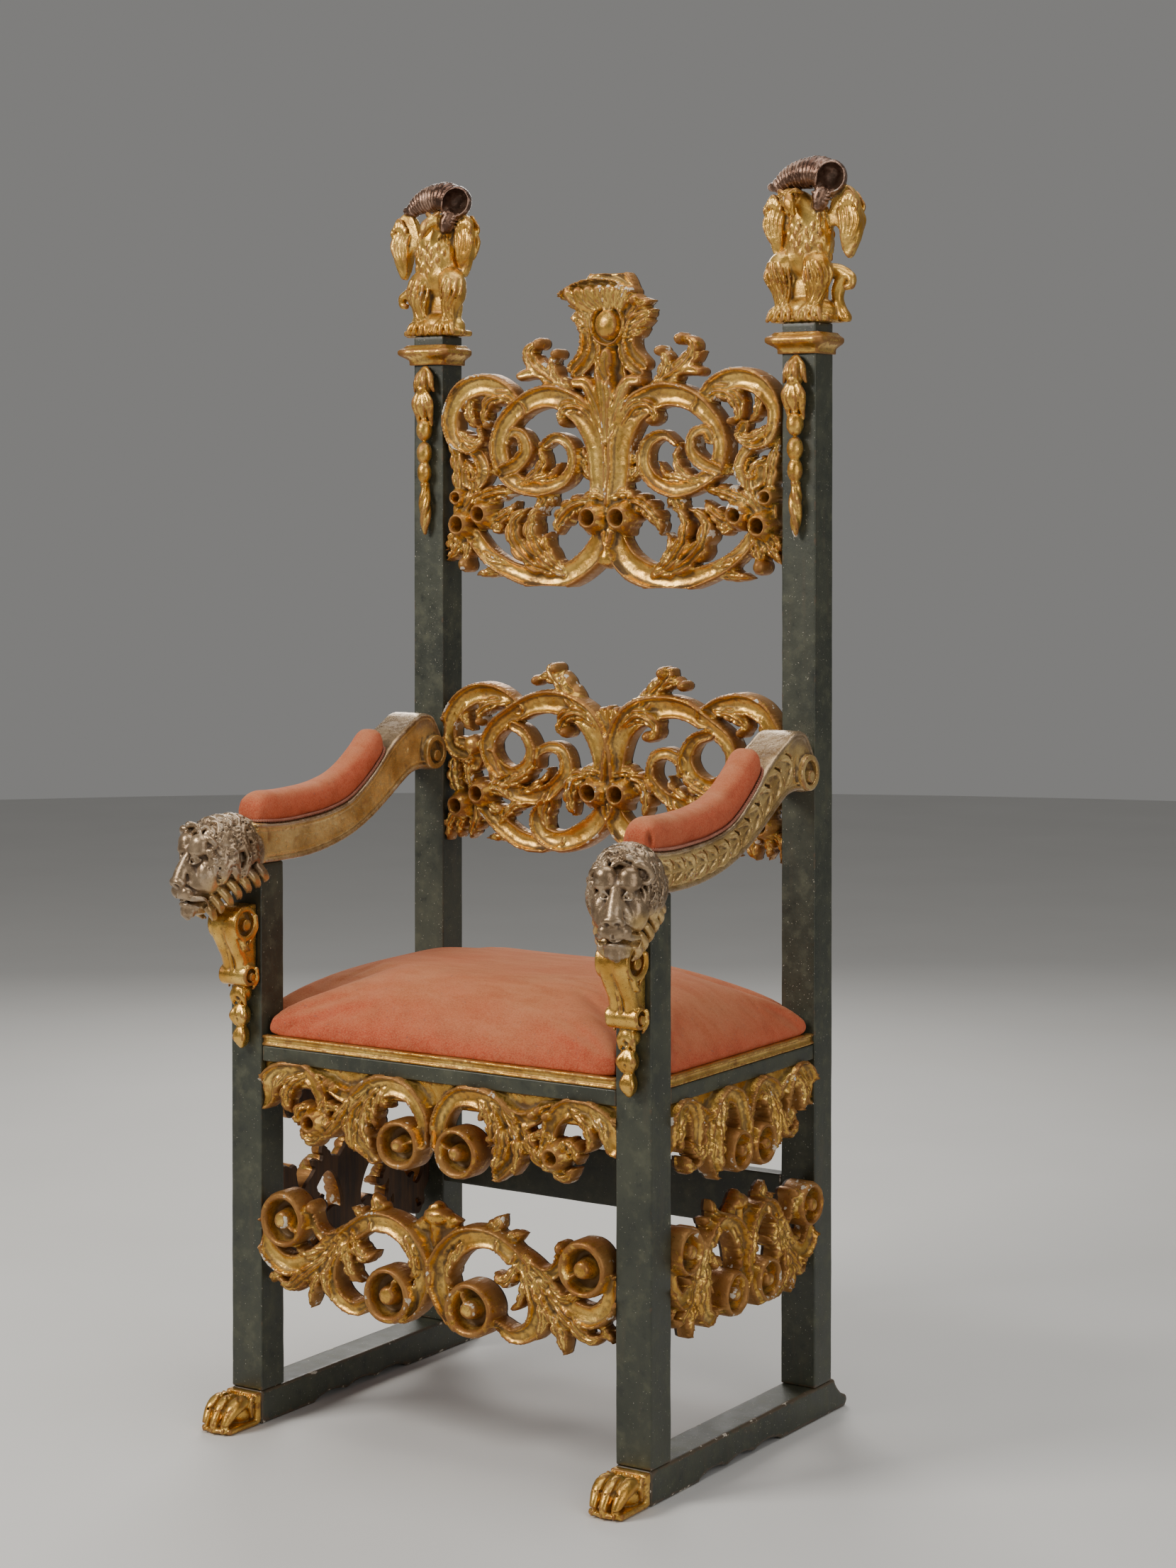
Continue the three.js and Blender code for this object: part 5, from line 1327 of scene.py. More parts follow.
def maneLocks(c):
    rng = np.random.default_rng(lionLook["seed"])
    # rows of locks from the brow back to the arm, each split in strands by fine cuts
    rows = (((-76, -70, -58), (0.80, 0.98, 1.08), (3.4, 5.0, 1.8), 0.66),
            ((-68, -58, -44), (0.94, 1.12, 1.18), (4, 5.6, 2), 0.66),
            ((-56, -44, -28), (1.04, 1.18, 1.2), (4.2, 5.8, 2), 0.64),
            ((-42, -28, -12), (1.08, 1.2, 1.14), (4.4, 6, 2), 0.62),
            ((-26, -12, 4), (1.06, 1.12, 0.96), (4.6, 6, 2), 0.60))
    cuts = []
    for row, (depths, reaches, radii, span) in enumerate(rows):
        locks = lionLook["locks"][row]
        for k in range(locks):
            start = (k + 0.5 * (row % 2)) / locks * 2 - 1
            if abs(start) > span:
                continue
            angle = start * math.pi
            lean = rng.uniform(0.16, 0.36) * rng.choice([-1, 1])
            path = []
            for t in np.linspace(0, 1, 6):
                turn = angle + lean * math.sin(t * math.pi * 1.7) - 0.10 * t * math.sin(angle)
                reach = np.interp(t, (0, 0.5, 1), reaches) + 0.05 * math.sin(t * 7 + k)
                path.append((38 * reach * math.sin(turn), np.interp(t, (0, 0.5, 1), depths),
                             12 + 45 * reach * math.cos(turn)))
            size = rng.uniform(0.8, 1.15)
            path = np.array(path)
            aside = np.array([math.cos(angle), 0, -math.sin(angle)])
            outward = np.array([math.sin(angle), -0.3, math.cos(angle)])
            for way, share in ((-0.5, 0.8), (0.5, 0.74)):
                strand = path + aside * way * radii[1] * size * 0.9
                c.limb(strand, [r * size * share for r in (radii[0], radii[1], radii[1], radii[2])], 0.7)
                cuts.append((strand + outward * radii[1] * size * share * 1.02, [0.7, 1.1, 0.9]))
            if rng.random() < 0.5:
                hook = path[-1] + aside * 4.5 * np.sign(lean) + outward * 2
                c.limb([path[-2], path[-1], hook, hook + np.array([0, -6, 0]) - aside * 4 * np.sign(lean)],
                       [3.4 * size, 3.2, 2.8, 1.4], 0.6)
    for path, radii in cuts:
        c.groove(path, radii, 0.5)
    # a great curl at the temple on the outer side, and a smaller one within
    c.limb([(18, -78, 46), (27, -82, 50), (36, -76, 44), (39, -70, 34), (35, -74, 26), (29, -80, 28)],
           [4, 5.4, 5.6, 5, 4, 2.6], 0.8)
    c.dig((31, -82, 38), (4.6, 7, 5.4), 0.8)
    c.limb([(8, -76, 56), (14, -82, 57), (20, -78, 54), (22, -70, 52)], [3.6, 4.4, 4, 2], 0.8)
    c.dig((15, -78, 50), (3.4, 5, 3), 0.8)
    c.ball((-33, -76, 22), (7, 6, 7), 1)
    c.groove([(-35, -82, 24), (-38, -79, 20), (-35, -80, 17), (-31, -82, 20)], [1.8, 1.6, 1.4, 1.2], 0.8)
    c.limb([(-24, -78, 44), (-32, -76, 40), (-37, -70, 32), (-35, -72, 26)], [3.4, 4.4, 3.8, 2], 0.9)


# Arms: swept boards with foliage outside, incised marks inside, lions in front, volutes behind
armLook = {"width": 55, "meshShare": 0.36, "leaves": 12, "slotDepth": 5.5, "marks": 15, "punches": 70}
armTop = np.array([[-8, 56], [50, 53], [100, 55], [150, 60], [200, 73], [250, 104], [300, 147], [340, 170], [372, 184],
                   [398, 177], [414, 152], [423, 136]], float)
armUnder = np.array([[423, 112], [398, 100], [368, 103], [340, 98], [300, 74], [250, 44], [200, 22], [150, 9], [100, 2],
                     [50, 0.3], [-8, 0.3]], float)


def sculptArm():
    half = armLook["width"] / 2
    c = Clay((postX - 66, -124, 690), (postX + 72, rearFace + 3, 958), lionLook["cell"])
    c.place((postX, 0, frontTop))
    top, under = curveThrough(armTop, 9), curveThrough(armUnder, 9)
    c.paint = 1.0
    c.plate(np.vstack([top, under]), -half, half, 3.0, 1)
    # volute at the back of both sides, a hollow ring with a peg
    middle = (396, 126)
    c.drum(middle, 25, -half - 8, half + 8, 2.2, 2)
    for s in (-1, 1):
        ends = sorted((s * (half - 1), s * (half + 20)))
        c.drum(middle, 16.5, *ends, 1, 1, cut=True)
        ends = sorted((s * (half - 4), s * (half + 8.5)))
        c.drum((middle[0] + 2, middle[1] - 5), 8.5, *ends, 2, 1)
        c.groove([(s * (half + 1), middle[0] - 26, middle[1] + 22), (s * (half + 1), middle[0] - 29, middle[1]),
                (s * (half + 1), middle[0] - 20, middle[1] - 22)], [2.6, 3, 2.4], 1.5)
    # mouldings that follow the top and the under side
    for line, gap, radius in ((top, -3.2, 2.1), (top, -8.5, 1.5), (under, 3.6, 3.0), (under, 10.5, 1.5)):
        run = np.gradient(line, axis=0)
        run /= np.linalg.norm(run, axis=1, keepdims=True)
        flow = 1 if line is top else -1
        aside = np.stack([-run[:, 1], run[:, 0]], 1) * flow
        moved = line + aside * gap
        c.paint = 0.35 if abs(gap) < 5 else 1.0
        for s in (-1, 1):
            c.limb([(s * (half - 0.2), y, z) for y, z in moved[::3]], [radius, radius], 1.0)
    # punched crest over the back end
    c.paint = 0.15
    rng = np.random.default_rng(9)
    for _ in range(armLook["punches"]):
        t = rng.uniform(0, 1)
        y, z = np.array([386, 184]) + t * np.array([26, -14]) + np.array([0, 3 * math.sin(math.pi * t)])
        c.dig((rng.uniform(-half + 4, half - 4), y, z + 0.5), 2.2, 0.8)
    armFoliage(c, top, under)
    innerMarks(c, top, under)
    # head, and a collar of short locks where it meets the arm
    c.paint = 0.0
    c.place((postX, 0, frontTop), lionLook["turn"])
    lionHead(c)
    c.place((postX, 0, frontTop))
    # room for the post, the bracket and the rear post
    gap = jointGap
    c.clear((-60, -gap, -120), (60, postDepth + 30, gap))
    c.clear((-26.3, -57, -160), (26.3, 1, -53.7 + gap))
    c.clear((-80, rearFace - gap, -60), (80, rearFace + 60, 260))
    c.roughen(0.16, 12, 61)

    def retone(points, tones):
        # the top, the under side and the crest are dark silver, the sides gold
        y, z = points[:, 1], points[:, 2] - frontTop
        above = np.interp(y, top[:, 0], top[:, 1]) - z
        below = z - np.interp(y, under[::-1, 0], under[::-1, 1])
        edge = np.maximum((1 - step01(above, 1.5, 4.5)), (1 - step01(below, 1.0, 3.5)))
        crest = step01(y, 345, 362) * (1 - step01(above, 16, 22))
        locks = step01(-z, 6, 20) * step01(y, -92, -70) * 0.75
        return np.where(y > 6, tones * (1 - 0.85 * np.maximum(edge, crest)), np.maximum(tones, locks))

    makePair(c, "arm", armSurface, (4, 46, 0.34, 2.4),
             armLook["meshShare"], retone)


def alongArm(top, under, share):
    # the middle of the arm at a share of its length, with its direction and half height
    y = 24 + 352 * share
    high = np.interp(y, top[:, 0], top[:, 1])
    low = np.interp(y, under[::-1, 0], under[::-1, 1])
    step = 6
    rise = (np.interp(y + step, top[:, 0], top[:, 1]) + np.interp(y + step, under[::-1, 0], under[::-1, 1])
            - np.interp(y - step, top[:, 0], top[:, 1]) - np.interp(y - step, under[::-1, 0], under[::-1, 1])) / 2
    way = np.array([2 * step, rise])
    way /= np.linalg.norm(way)
    return np.array([y, (high + low) / 2]), way, (high - low) / 2 * way[0]


def armFoliage(c, top, under):
    half, units = armLook["width"] / 2, armLook["leaves"]
    c.paint = 1.0
    c.limb([(half - 0.5, *alongArm(top, under, s)[0]) for s in np.linspace(0, 0.93, 14)], [2.6, 2.6, 2.2], 1.5)
    for k in range(units):
        share = (k + 0.5) / units * 0.95
        at, way, tall = alongArm(top, under, share)
        up = np.array([-way[1], way[0]])
        for s in (-1, 1):
            lean = 0.0 if k % 2 else 3.0
            path = [at + way * (10 - lean), at + way * 4 + up * s * tall * 0.34, at - way * 8 + up * s * tall * 0.56,
                    at - way * (17 - lean) + up * s * tall * 0.6]
            c.limb([(half + 0.4, *p) for p in path], [2.8, 4.6, 4.4, 1.6], 1.1)
            rib = [at + way * 8 + up * s * 2, at + way * 1 + up * s * tall * 0.36, at - way * 12 + up * s * tall * 0.57]
            c.groove([(half + 4.4, *p) for p in rib], [1.0, 1.4, 1.0], 0.7)
            second = [at + way * 12 + up * s * 2, at + way * 12 + up * s * tall * 0.34,
                      at + way * 3 + up * s * tall * 0.64]
            c.limb([(half - 0.4, *p) for p in second], [2.2, 3.6, 1.4], 1.0)
    for k in range(units):
        at, way, tall = alongArm(top, under, (k + 0.5) / units * 0.95)
        up = np.array([-way[1], way[0]])
        for s in (-1, 1):
            slot = [at + way * 14 + up * s * tall * 0.18, at + way * 8 + up * s * tall * 0.36,
                    at + way * 4 + up * s * tall * 0.56]
            for depth in (-3, 0, armLook["slotDepth"] - 2.4, armLook["slotDepth"]):
                c.groove([(half + 1 - depth, *p) for p in slot], [2.4, 2.6, 2.0], 0.5)


def innerMarks(c, top, under):
    half = armLook["width"] / 2
    rng = np.random.default_rng(17)
    marks = armLook["marks"]
    for k in range(marks):
        at, way, tall = alongArm(top, under, (k + 0.6) / marks * 0.9)
        up = np.array([-way[1], way[0]])
        at = at + up * rng.uniform(-0.2, 0.3) * tall
        strokes = {0: [((-5, 4), (2, 0)), ((2, 0), (-5, -4))], 1: [((-3, -5), (3, 5)), ((-5, 2), (5, -2))],
                   2: [((0, -5), (0, 5)), ((-4, 1), (4, 1))]}[k % 3]
        for (a0, b0), (a1, b1) in strokes:
            p, q = at + way * a0 + up * b0, at + way * a1 + up * b1
            c.groove([(-half - 0.5, *p), (-half - 0.5, *q)], [1.5, 1.1], 0.5)


# Scroll brackets under the lions: a console with two ribs in front, rings at its sides, and husks below
bracketLook = {"width": 44, "meshShare": 0.66, "top": 714, "bottom": 602, "cell": 1.5}


def sculptBracket():
    half = bracketLook["width"] / 2
    low, high = bracketLook["bottom"], bracketLook["top"]
    c = Clay((postX - 30, -60, 508), (postX + 30, 2, high + 2), bracketLook["cell"])
    c.place((postX, 0, 0))
    ribs = [(-14, high - 12), (-30, high - 11), (-42, high - 20), (-42, high - 38), (-34, high - 56), (-24, high - 74),
            (-20, high - 90), (-18, high - 100)]
    for s in (-1, 1):
        c.limb([(s * 10.4, y, z) for y, z in ribs], [11, 11, 11.4, 11, 9.6, 9, 9, 9.4], 1.0)
    c.limb([(0, y + 6, z) for y, z in ribs], [12, 12, 14, 13, 11, 10, 10, 10], 3)
    c.plate([(0, low + 2), (-18, low + 2), (-26, low + 20), (-34, low + 52), (-30, high - 6), (-8, high - 1),
             (0, high - 1)],
            -half + 3, half - 3, 3, 2)
    # rings with their pegs
    for (y, z), radius, hollow, peg, stand in (((-29, high - 25), 24.5, 16.5, 8.2, 2.5),
                                               ((-17, low + 15), 14.5, 9.4, 6.0, 2.0)):
        c.drum((y, z), radius, -half - stand, half + stand, 2.4, 2)
        for s in (-1, 1):
            c.drum((y, z), hollow, *sorted((s * (half - 7), s * (half + 12))), 0.8, 1, cut=True)
            c.drum((y + 2, z - 2), peg, *sorted((s * (half - 9), s * (half + stand + 0.6))), 1.6, 1)
            c.limb([(s * (half + stand), y + radius - 5, z + 8), (s * (half + 1), y + radius - 2, z - 8),
                    (s * (half - 1), y + radius * 0.4, z - radius - 4)], [3.4, 3.0, 1.8], 1.4)
    # curled leaf below the top ring and the grooves of the waist
    for s in (-1, 1):
        c.limb([(s * 20, -34, high - 46), (s * 22, -28, high - 58), (s * 21, -18, high - 62)], [4.4, 4, 1.8], 1)
        c.groove([(s * 21, -42, high - 44), (s * 21, -34, high - 60), (s * 21, -26, high - 78),
                  (s * 21, -24, high - 92)],
               [1.6, 1.9, 1.9, 1.4], 1)
        c.limb([(s * 15.5, -22, low + 30), (s * 19, -26, low + 18), (s * 18, -27, low + 8)], [3.4, 3.8, 2], 1)
    c.groove([(0, -52, high - 8), (0, -56, high - 26), (0, -50, high - 46), (0, -38, high - 66), (0, -31, high - 84)],
           [3.0, 3.2, 2.8, 2.4, 1.8], 1.0)
    c.limb([(0, -46, high - 24), (0, -36, high - 62), (0, -28, high - 92)], [3.4, 2.8, 2.4], 0.8)
    # husks and bud down the post
    c.ball((0, -9, 592), (14.5, 13, 15), 2)
    for x in (-9, 0, 9):
        c.limb([(x * 0.7, -14, 600), (x, -17, 588), (x * 1.15, -14, 576)], [4, 5, 2], 1)
        c.limb([(x * 0.5, -13, 572), (x * 1.1, -17, 560), (x * 0.8, -14, 548)], [4.4, 5.2, 2], 1)
        c.limb([(x * 0.3, -12, 544), (x * 0.7, -15, 532), (x * 0.2, -10, 517)], [3.8, 4.8, 1.8], 1)
    c.ball((0, -9, 561), (12.5, 12, 16), 2)
    c.ball((0, -8, 532), (9.5, 10, 16), 2)
    c.dig((0, -21, 583), (4.4, 6, 5), 1)
    c.dig((0, -22, 555), (2.4, 4, 5), 1)
    c.clear((-60, -0.3, 500), (60, 8, 720))
    c.clear((-60, -80, high - 0.3), (60, 8, high + 20))
    c.roughen(0.14, 11, 71)
    makePair(c, "scroll_bracket", giltBright, (4, 40, 0.34, 2.2),
             bracketLook["meshShare"])


# Husk drops on the rear posts: cup, draped leaves, three beads and a twisted tassel
dropLook = {"top": 1463, "cell": 1.4, "meshShare": 0.66}


def sculptDrop():
    top = dropLook["top"]
    face = rearFace
    c = Clay((postX - 24, face - 34, top - 256), (postX + 24, face + 2, top + 3), dropLook["cell"])
    c.place((postX, face, top))
    c.limb([(0, -6, -2), (0, -9, -14), (0, -8, -30)], [4, 9, 12], 1)
    for x, out in ((-13, -10), (-5, -17), (5, -17), (13, -10)):
        c.limb([(x * 0.3, -8, -4), (x * 0.85, out, -16), (x * 1.05, out - 2, -28), (x * 1.3, out, -38)],
               [2.4, 4.6, 4.8, 2], 1)
    c.ball((0, -17, -36), (7, 6, 7), 1)
    c.limb([(0, -10, -36), (0, -13, -56), (0, -9, -78)], [8, 10, 5], 1)
    for s in (-1, 1):
        c.limb([(s * 5, -15, -38), (s * 13, -15, -56), (s * 11, -10, -74), (s * 12, -7, -88)], [4, 6, 5, 1.8], 1)
        c.limb([(s * 3, -18, -44), (s * 6, -19, -60), (s * 3, -15, -74)], [2.4, 3.6, 1.8], 0.8)
    c.groove([(0, -22, -46), (0, -23, -60), (0, -18, -72)], [1.6, 2, 1.4], 0.8)
    for z, half in ((-95, 12), (-129, 11.4), (-158, 10.6)):
        c.ball((0, -10, z), (half, half, 17), 0.8)
        c.groove([(half * 0.7, -10 - half * 0.85, z + 12), (0, -11 - half, z),
                  (-half * 0.7, -10 - half * 0.85, z - 12)],
               [0.9, 1.1, 0.9], 0.8)
    c.ball((0, -8, -176), (7, 8, 5), 1)
    for k in range(3):
        turn = k * 2.1
        path = []
        for t in np.linspace(0, 1, 9):
            size = np.interp(t, (0, 0.35, 0.8, 1), (2.5, 4.6, 3.4, 0.6))
            path.append((size * math.cos(turn + 4.2 * t), -8 + size * math.sin(turn + 4.2 * t), -178 - 70 * t))
        c.limb(path, [4, 5.6, 5.4, 4.6, 2.2], 0.8)
    c.clear((-60, -0.3, -270), (60, 8, 10))
    c.clear((-60, -80, -0.4), (60, 8, 20))
    c.roughen(0.14, 9, 75)
    makePair(c, "husk_drop", giltWorn, (4, 36, 0.3, 1.8),
             dropLook["meshShare"])


# Eagles on the rear posts: the left bird is mirrored, and both ringed shells open to the right
eagleLook = {"cell": 1.45, "meshShare": 0.43, "base": 1507.3, "strokes": 150}


def eagleBody(c):
    c.paint = 0.0
    c.ball((3, 2, 118), (34, 26, 48), 3)
    c.ball((-3, 2, 92), (36, 25, 34), 5)
    c.ball((-5, 6, 46), (34, 17, 46), 4)
    c.limb([(2, 0, 140), (-4, -4, 158), (-12, -8, 170)], [26, 20, 15], 4)
    for s, x in ((-1, -36), (1, 22)):
        c.limb([(x * 0.5, -2, 92), (x, -11, 76), (x * 1.06, -12, 60), (x * 0.9, -13, 40), (x * 0.82, -15, 20)],
               [16, 19.5, 17.5, 11.5, 9], 2.5)
        for k in range(7):
            spin = -1.4 + 2.8 * k / 6
            a = x + 17 * math.sin(spin)
            c.limb([(a, -11 - 18.5 * math.cos(spin), 82),
                    (x * 1.04 + 20 * math.sin(spin + 0.25), -12 - 19 * math.cos(spin + 0.25), 64),
                    (x * 0.92 + 12.5 * math.sin(spin + 0.5), -13 - 12.5 * math.cos(spin + 0.5), 42),
                    (x * 0.84 + 10 * math.sin(spin), -15 - 9.5 * math.cos(spin), 24)], [2.2, 2.8, 2.4, 1.6], 0.7)
            c.groove([(x + 14 * math.sin(spin + 0.2), -12 - 19 * math.cos(spin + 0.2), 74),
                    (x * 1.0 + 16 * math.sin(spin + 0.5), -13 - 17.5 * math.cos(spin + 0.5), 52)], [1.0, 1.2], 0.6)
        # toes spread over the block
        for aside in (-17, -6, 6, 17):
            c.limb([(x * 0.8 + aside * 0.3, -16, 22), (x * 0.8 + aside * 0.8, -25, 14), (x * 0.85 + aside, -28, 3)],
                   [6, 5, 3], 1)
    c.ball((0, 2, 14), (45, 25, 24), 3)
    c.slab((-46, -26, 0), (46, 26, 9), 4, 2)
    rng = np.random.default_rng(33)
    for k in range(26):
        turn = k / 26 * 2 * math.pi
        x, y = 45 * math.cos(turn), 26 * math.sin(turn)
        c.limb([(x * 0.8, y * 0.8, 12), (x * 1.02, y * 1.02, rng.uniform(4, 8))], [5, 3], 1)
        c.groove([(x * 0.97 + 3, y * 1.1, 12), (x * 1.02 + 3, y * 1.14, -2)], [1.2, 1.8], 0.8)
    # breast and back feathers
    for row in range(8):
        z = 92 + row * 9.5
        wide = 30 * math.sqrt(max(0.1, 1 - ((z - 116) / 52) ** 2)) + 2
        for k in range(11):
            turn = (k + 0.5 * (row % 2)) / 11 * 2 * math.pi
            x, y = 3 + wide * math.sin(turn), 2 - wide * 0.8 * math.cos(turn)
            drift = rng.uniform(-4, 4)
            c.limb([(x * 0.97, y * 0.97, z + 8), (x + drift * 0.4, y * 1.03, z + 1),
                    (x * 1.02 + drift, y * 1.06, z - 6)],
                   [2.6, 3.8, 1.6], 0.8)
    # folded wings, with a gap between the right one and the body
    left = curveThrough([(-24, 150), (-32, 168), (-46, 179), (-57, 172), (-62, 148), (-60, 118), (-52, 94), (-45, 86),
                         (-40, 98), (-34, 122), (-26, 140), (-24, 150)], 5)[:-1]
    right = curveThrough([(30, 128), (33, 152), (42, 176), (56, 187), (70, 180), (81, 154), (83, 126), (76, 104),
                          (64, 86), (58, 92), (54, 108), (50, 124), (42, 132), (30, 128)], 5)[:-1]
    for wing, s, out in ((left, -1, -50), (right, 1, 66)):
        c.plate(wing, -3, 10, 3, 2, axis=1)
        for face, sink in ((-1, -4), (1, 11)):
            for k in range(5):
                x = out + s * (-13 + 6.5 * k)
                c.limb([(x * 0.96, sink, 160 - 4 * abs(k - 2)), (x + s * 1.5, sink + face, 138),
                        (x - s * (k * 3 - 3), sink, 112),
                        (x - s * (k * 4.6 - 3), sink - face * 3, 94 + 4 * abs(k - 1))], [3.4, 3.8, 3.4, 1.4], 0.8)
            for k in range(4):
                x = out + s * (-9.7 + 6.5 * k)
                c.groove([(x * 0.96, sink + face * 4, 156), (x + s * 1.5, sink + face * 4.6, 136),
                          (x - s * (k * 3 - 1.5), sink + face * 4, 112),
                        (x - s * (k * 4.6 - 1), sink + face * 2, 98)], [1.2, 1.5, 1.4, 1.0], 0.6)
            for k in range(7):
                x, z = out + s * (-12 + 4.2 * k), 166 - 1.1 * (k - 3) ** 2
                c.limb([(x, sink + face * 2, z + 7), (x + s * 0.5, sink + face * 3.4, z),
                        (x, sink + face * 2.4, z - 7)], [2, 2.8, 1.4], 0.7)
            c.limb([(out - s * 15, sink + face * 2, 150), (out, sink + face * 3.4, 177),
                    (out + s * 15, sink + face * 1, 160)],
                   [1.4, 2.4, 1.6], 0.8)
    # scrolled tail on the right
    c.limb([(54, 8, 6), (46, 9, 20), (42, 9, 36), (46, 8, 52), (56, 5, 63), (66, 3, 60), (67, 2, 50), (60, 1, 47)],
           [9.5, 8.5, 8, 9.5, 10, 8.5, 6.5, 4.6], 2)
    c.limb([(28, 4, 70), (44, 5, 70), (56, 5, 66)], [12, 10, 9], 2)
    c.dig((60, -5, 54.5), (3.4, 9, 3.4), 1)
    c.groove([(57, 0, 7), (49, 0, 22), (46, 0, 38), (50, -2, 52), (58, -6, 58)], [1.8, 2, 1.8, 1.4, 1.2], 1)
    # head: flat crown, frowning brows and a hooked beak
    c.ball((-17, -15, 170), (17, 18, 15), 3)
    c.limb([(-13, -28, 170), (-6, -40, 161), (0, -40, 143)], [9, 7.6, 1.6], 2)
    c.limb([(-7, -33, 156), (-1, -35, 147)], [4.6, 2.6], 1.5)
    c.groove([(-12, -38, 158), (-5, -40, 151), (-3, -38, 144)], [0.9, 1.2, 0.8], 0.6)
    for s in (-1, 1):
        c.dig((-15 + s * 10.5, -28, 172), (5.4, 5, 4.4), 0.8)
        c.ball((-15 + s * 10, -25.5, 172), (3.8, 3.6, 3.4), 0.5)
        c.limb([(-15 + s * 3, -34, 176), (-15 + s * 11, -31, 179.5), (-15 + s * 18, -20, 177)], [2.4, 3.6, 2.4], 1)
        for k in range(4):
            c.limb([(-14 + s * (9 + k), -20 + 6 * k, 168), (-10 + s * (15 + k), -14 + 5 * k, 157),
                    (-6 + s * (18 + k), -10 + 4 * k, 146)],
                   [3, 4, 1.8], 0.9)
    # strokes of the gouge over the breast, neck and back
    for _ in range(eagleLook["strokes"]):
        turn, z = rng.uniform(0, 2 * math.pi), rng.uniform(78, 166)
        wide = 34 * math.sqrt(max(0.12, 1 - ((z - 112) / 58) ** 2)) + 1.5
        slant = rng.uniform(-0.1, 0.24)
        path = [((2 - 0.16 * max(0, z - 130)) + wide * math.sin(turn + slant * t),
                 2 - (wide * 0.8 + 1) * math.cos(turn + slant * t), z - 13 * t) for t in (0, 0.5, 1)]
        c.groove(path, [0.7, 1.5, 0.8], 0.6)


def ringCuts(c, path, radii, step, depth, start=0.0):
    # grooves right round a tapered limb
    points = curveThrough(path, 1.0)
    gone = np.arange(len(points)) / (len(points) - 1)
    run = np.gradient(points, axis=0)
    length = len(points)
    for at in np.arange(start, length - 2, step).astype(int):
        way = run[at] / np.linalg.norm(run[at])
        aside = np.cross(way, [0, 1, 0])
        aside /= np.linalg.norm(aside)
        other = np.cross(way, aside)
        radius = spread(radii, gone[at]) + 0.35 * depth
        angles = np.linspace(0, 2 * math.pi, 17)
        circle = [points[at] + radius * (math.cos(a) * aside + math.sin(a) * other) for a in angles]
        c.groove(circle, [depth, depth], 0.6)


def shellOver(c):
    c.paint = 1.0
    path = [(-41, -3, 191), (-32, -4, 196), (-17, -6, 201), (2, -8, 204), (22, -10, 204), (40, -12, 197)]
    radii = [12, 16.5, 20, 22.5, 24, 25]
    c.limb(path, radii, 0.5)
    # thick lip that hangs behind the head, and the fins above the mouth
    c.limb([(38, -10, 196), (31, -12, 180), (24, -12, 160)], [22, 16, 10], 1.5)
    ringCuts(c, path, radii, 6.4, 2.3, 2)
    ringCuts(c, path[3:], radii[3:], 3.6, 1.5, 4)
    ringCuts(c, [(31, -12, 184), (26, -12, 164)], [17, 11], 5, 1.3, 2)
    c.dig((50, -27, 196), (18, 25, 20), 1.2, (0, 0.35, 0.35))
    c.groove([(44, -26, 190), (33, -27, 174), (26, -25, 160)], [13, 10, 7], 1.5)
    c.limb([(30, -16, 178), (27, -19, 168), (25, -19, 158)], [9, 8, 6], 2)
    c.ball((-53, -4, 189), (7.5, 6.5, 6.5), 1)


def sculptEagles():
    base = eagleLook["base"]
    middle = (rearFace + rearBack) / 2
    for side, way in (("left", -1), ("right", 1)):
        x = way * postX
        c = Clay((x - 90, middle - 46, base - 2), (x + 90, middle + 38, base + 234), eagleLook["cell"])
        c.place((x, middle, base), hand=way)
        eagleBody(c)
        c.place((x, middle, base))
        shellOver(c)
        c.clear((-120, -80, -20), (120, 80, 0))
        c.roughen(0.2, 9, 81 + way)
        points, faces, tones = c.skin()
        makePiece("carved_" + side + "_eagle", points, faces, [eagleSurface], side + "_eagle", tones=tones,
                  relief=(4, 46, 0.36, 2.6), share=eagleLook["meshShare"])


# Runners on the floor, each with a gilt paw at its front
runnerLook = {"meshShare": 0.4, "cell": 2.6, "pawCell": 1.3}


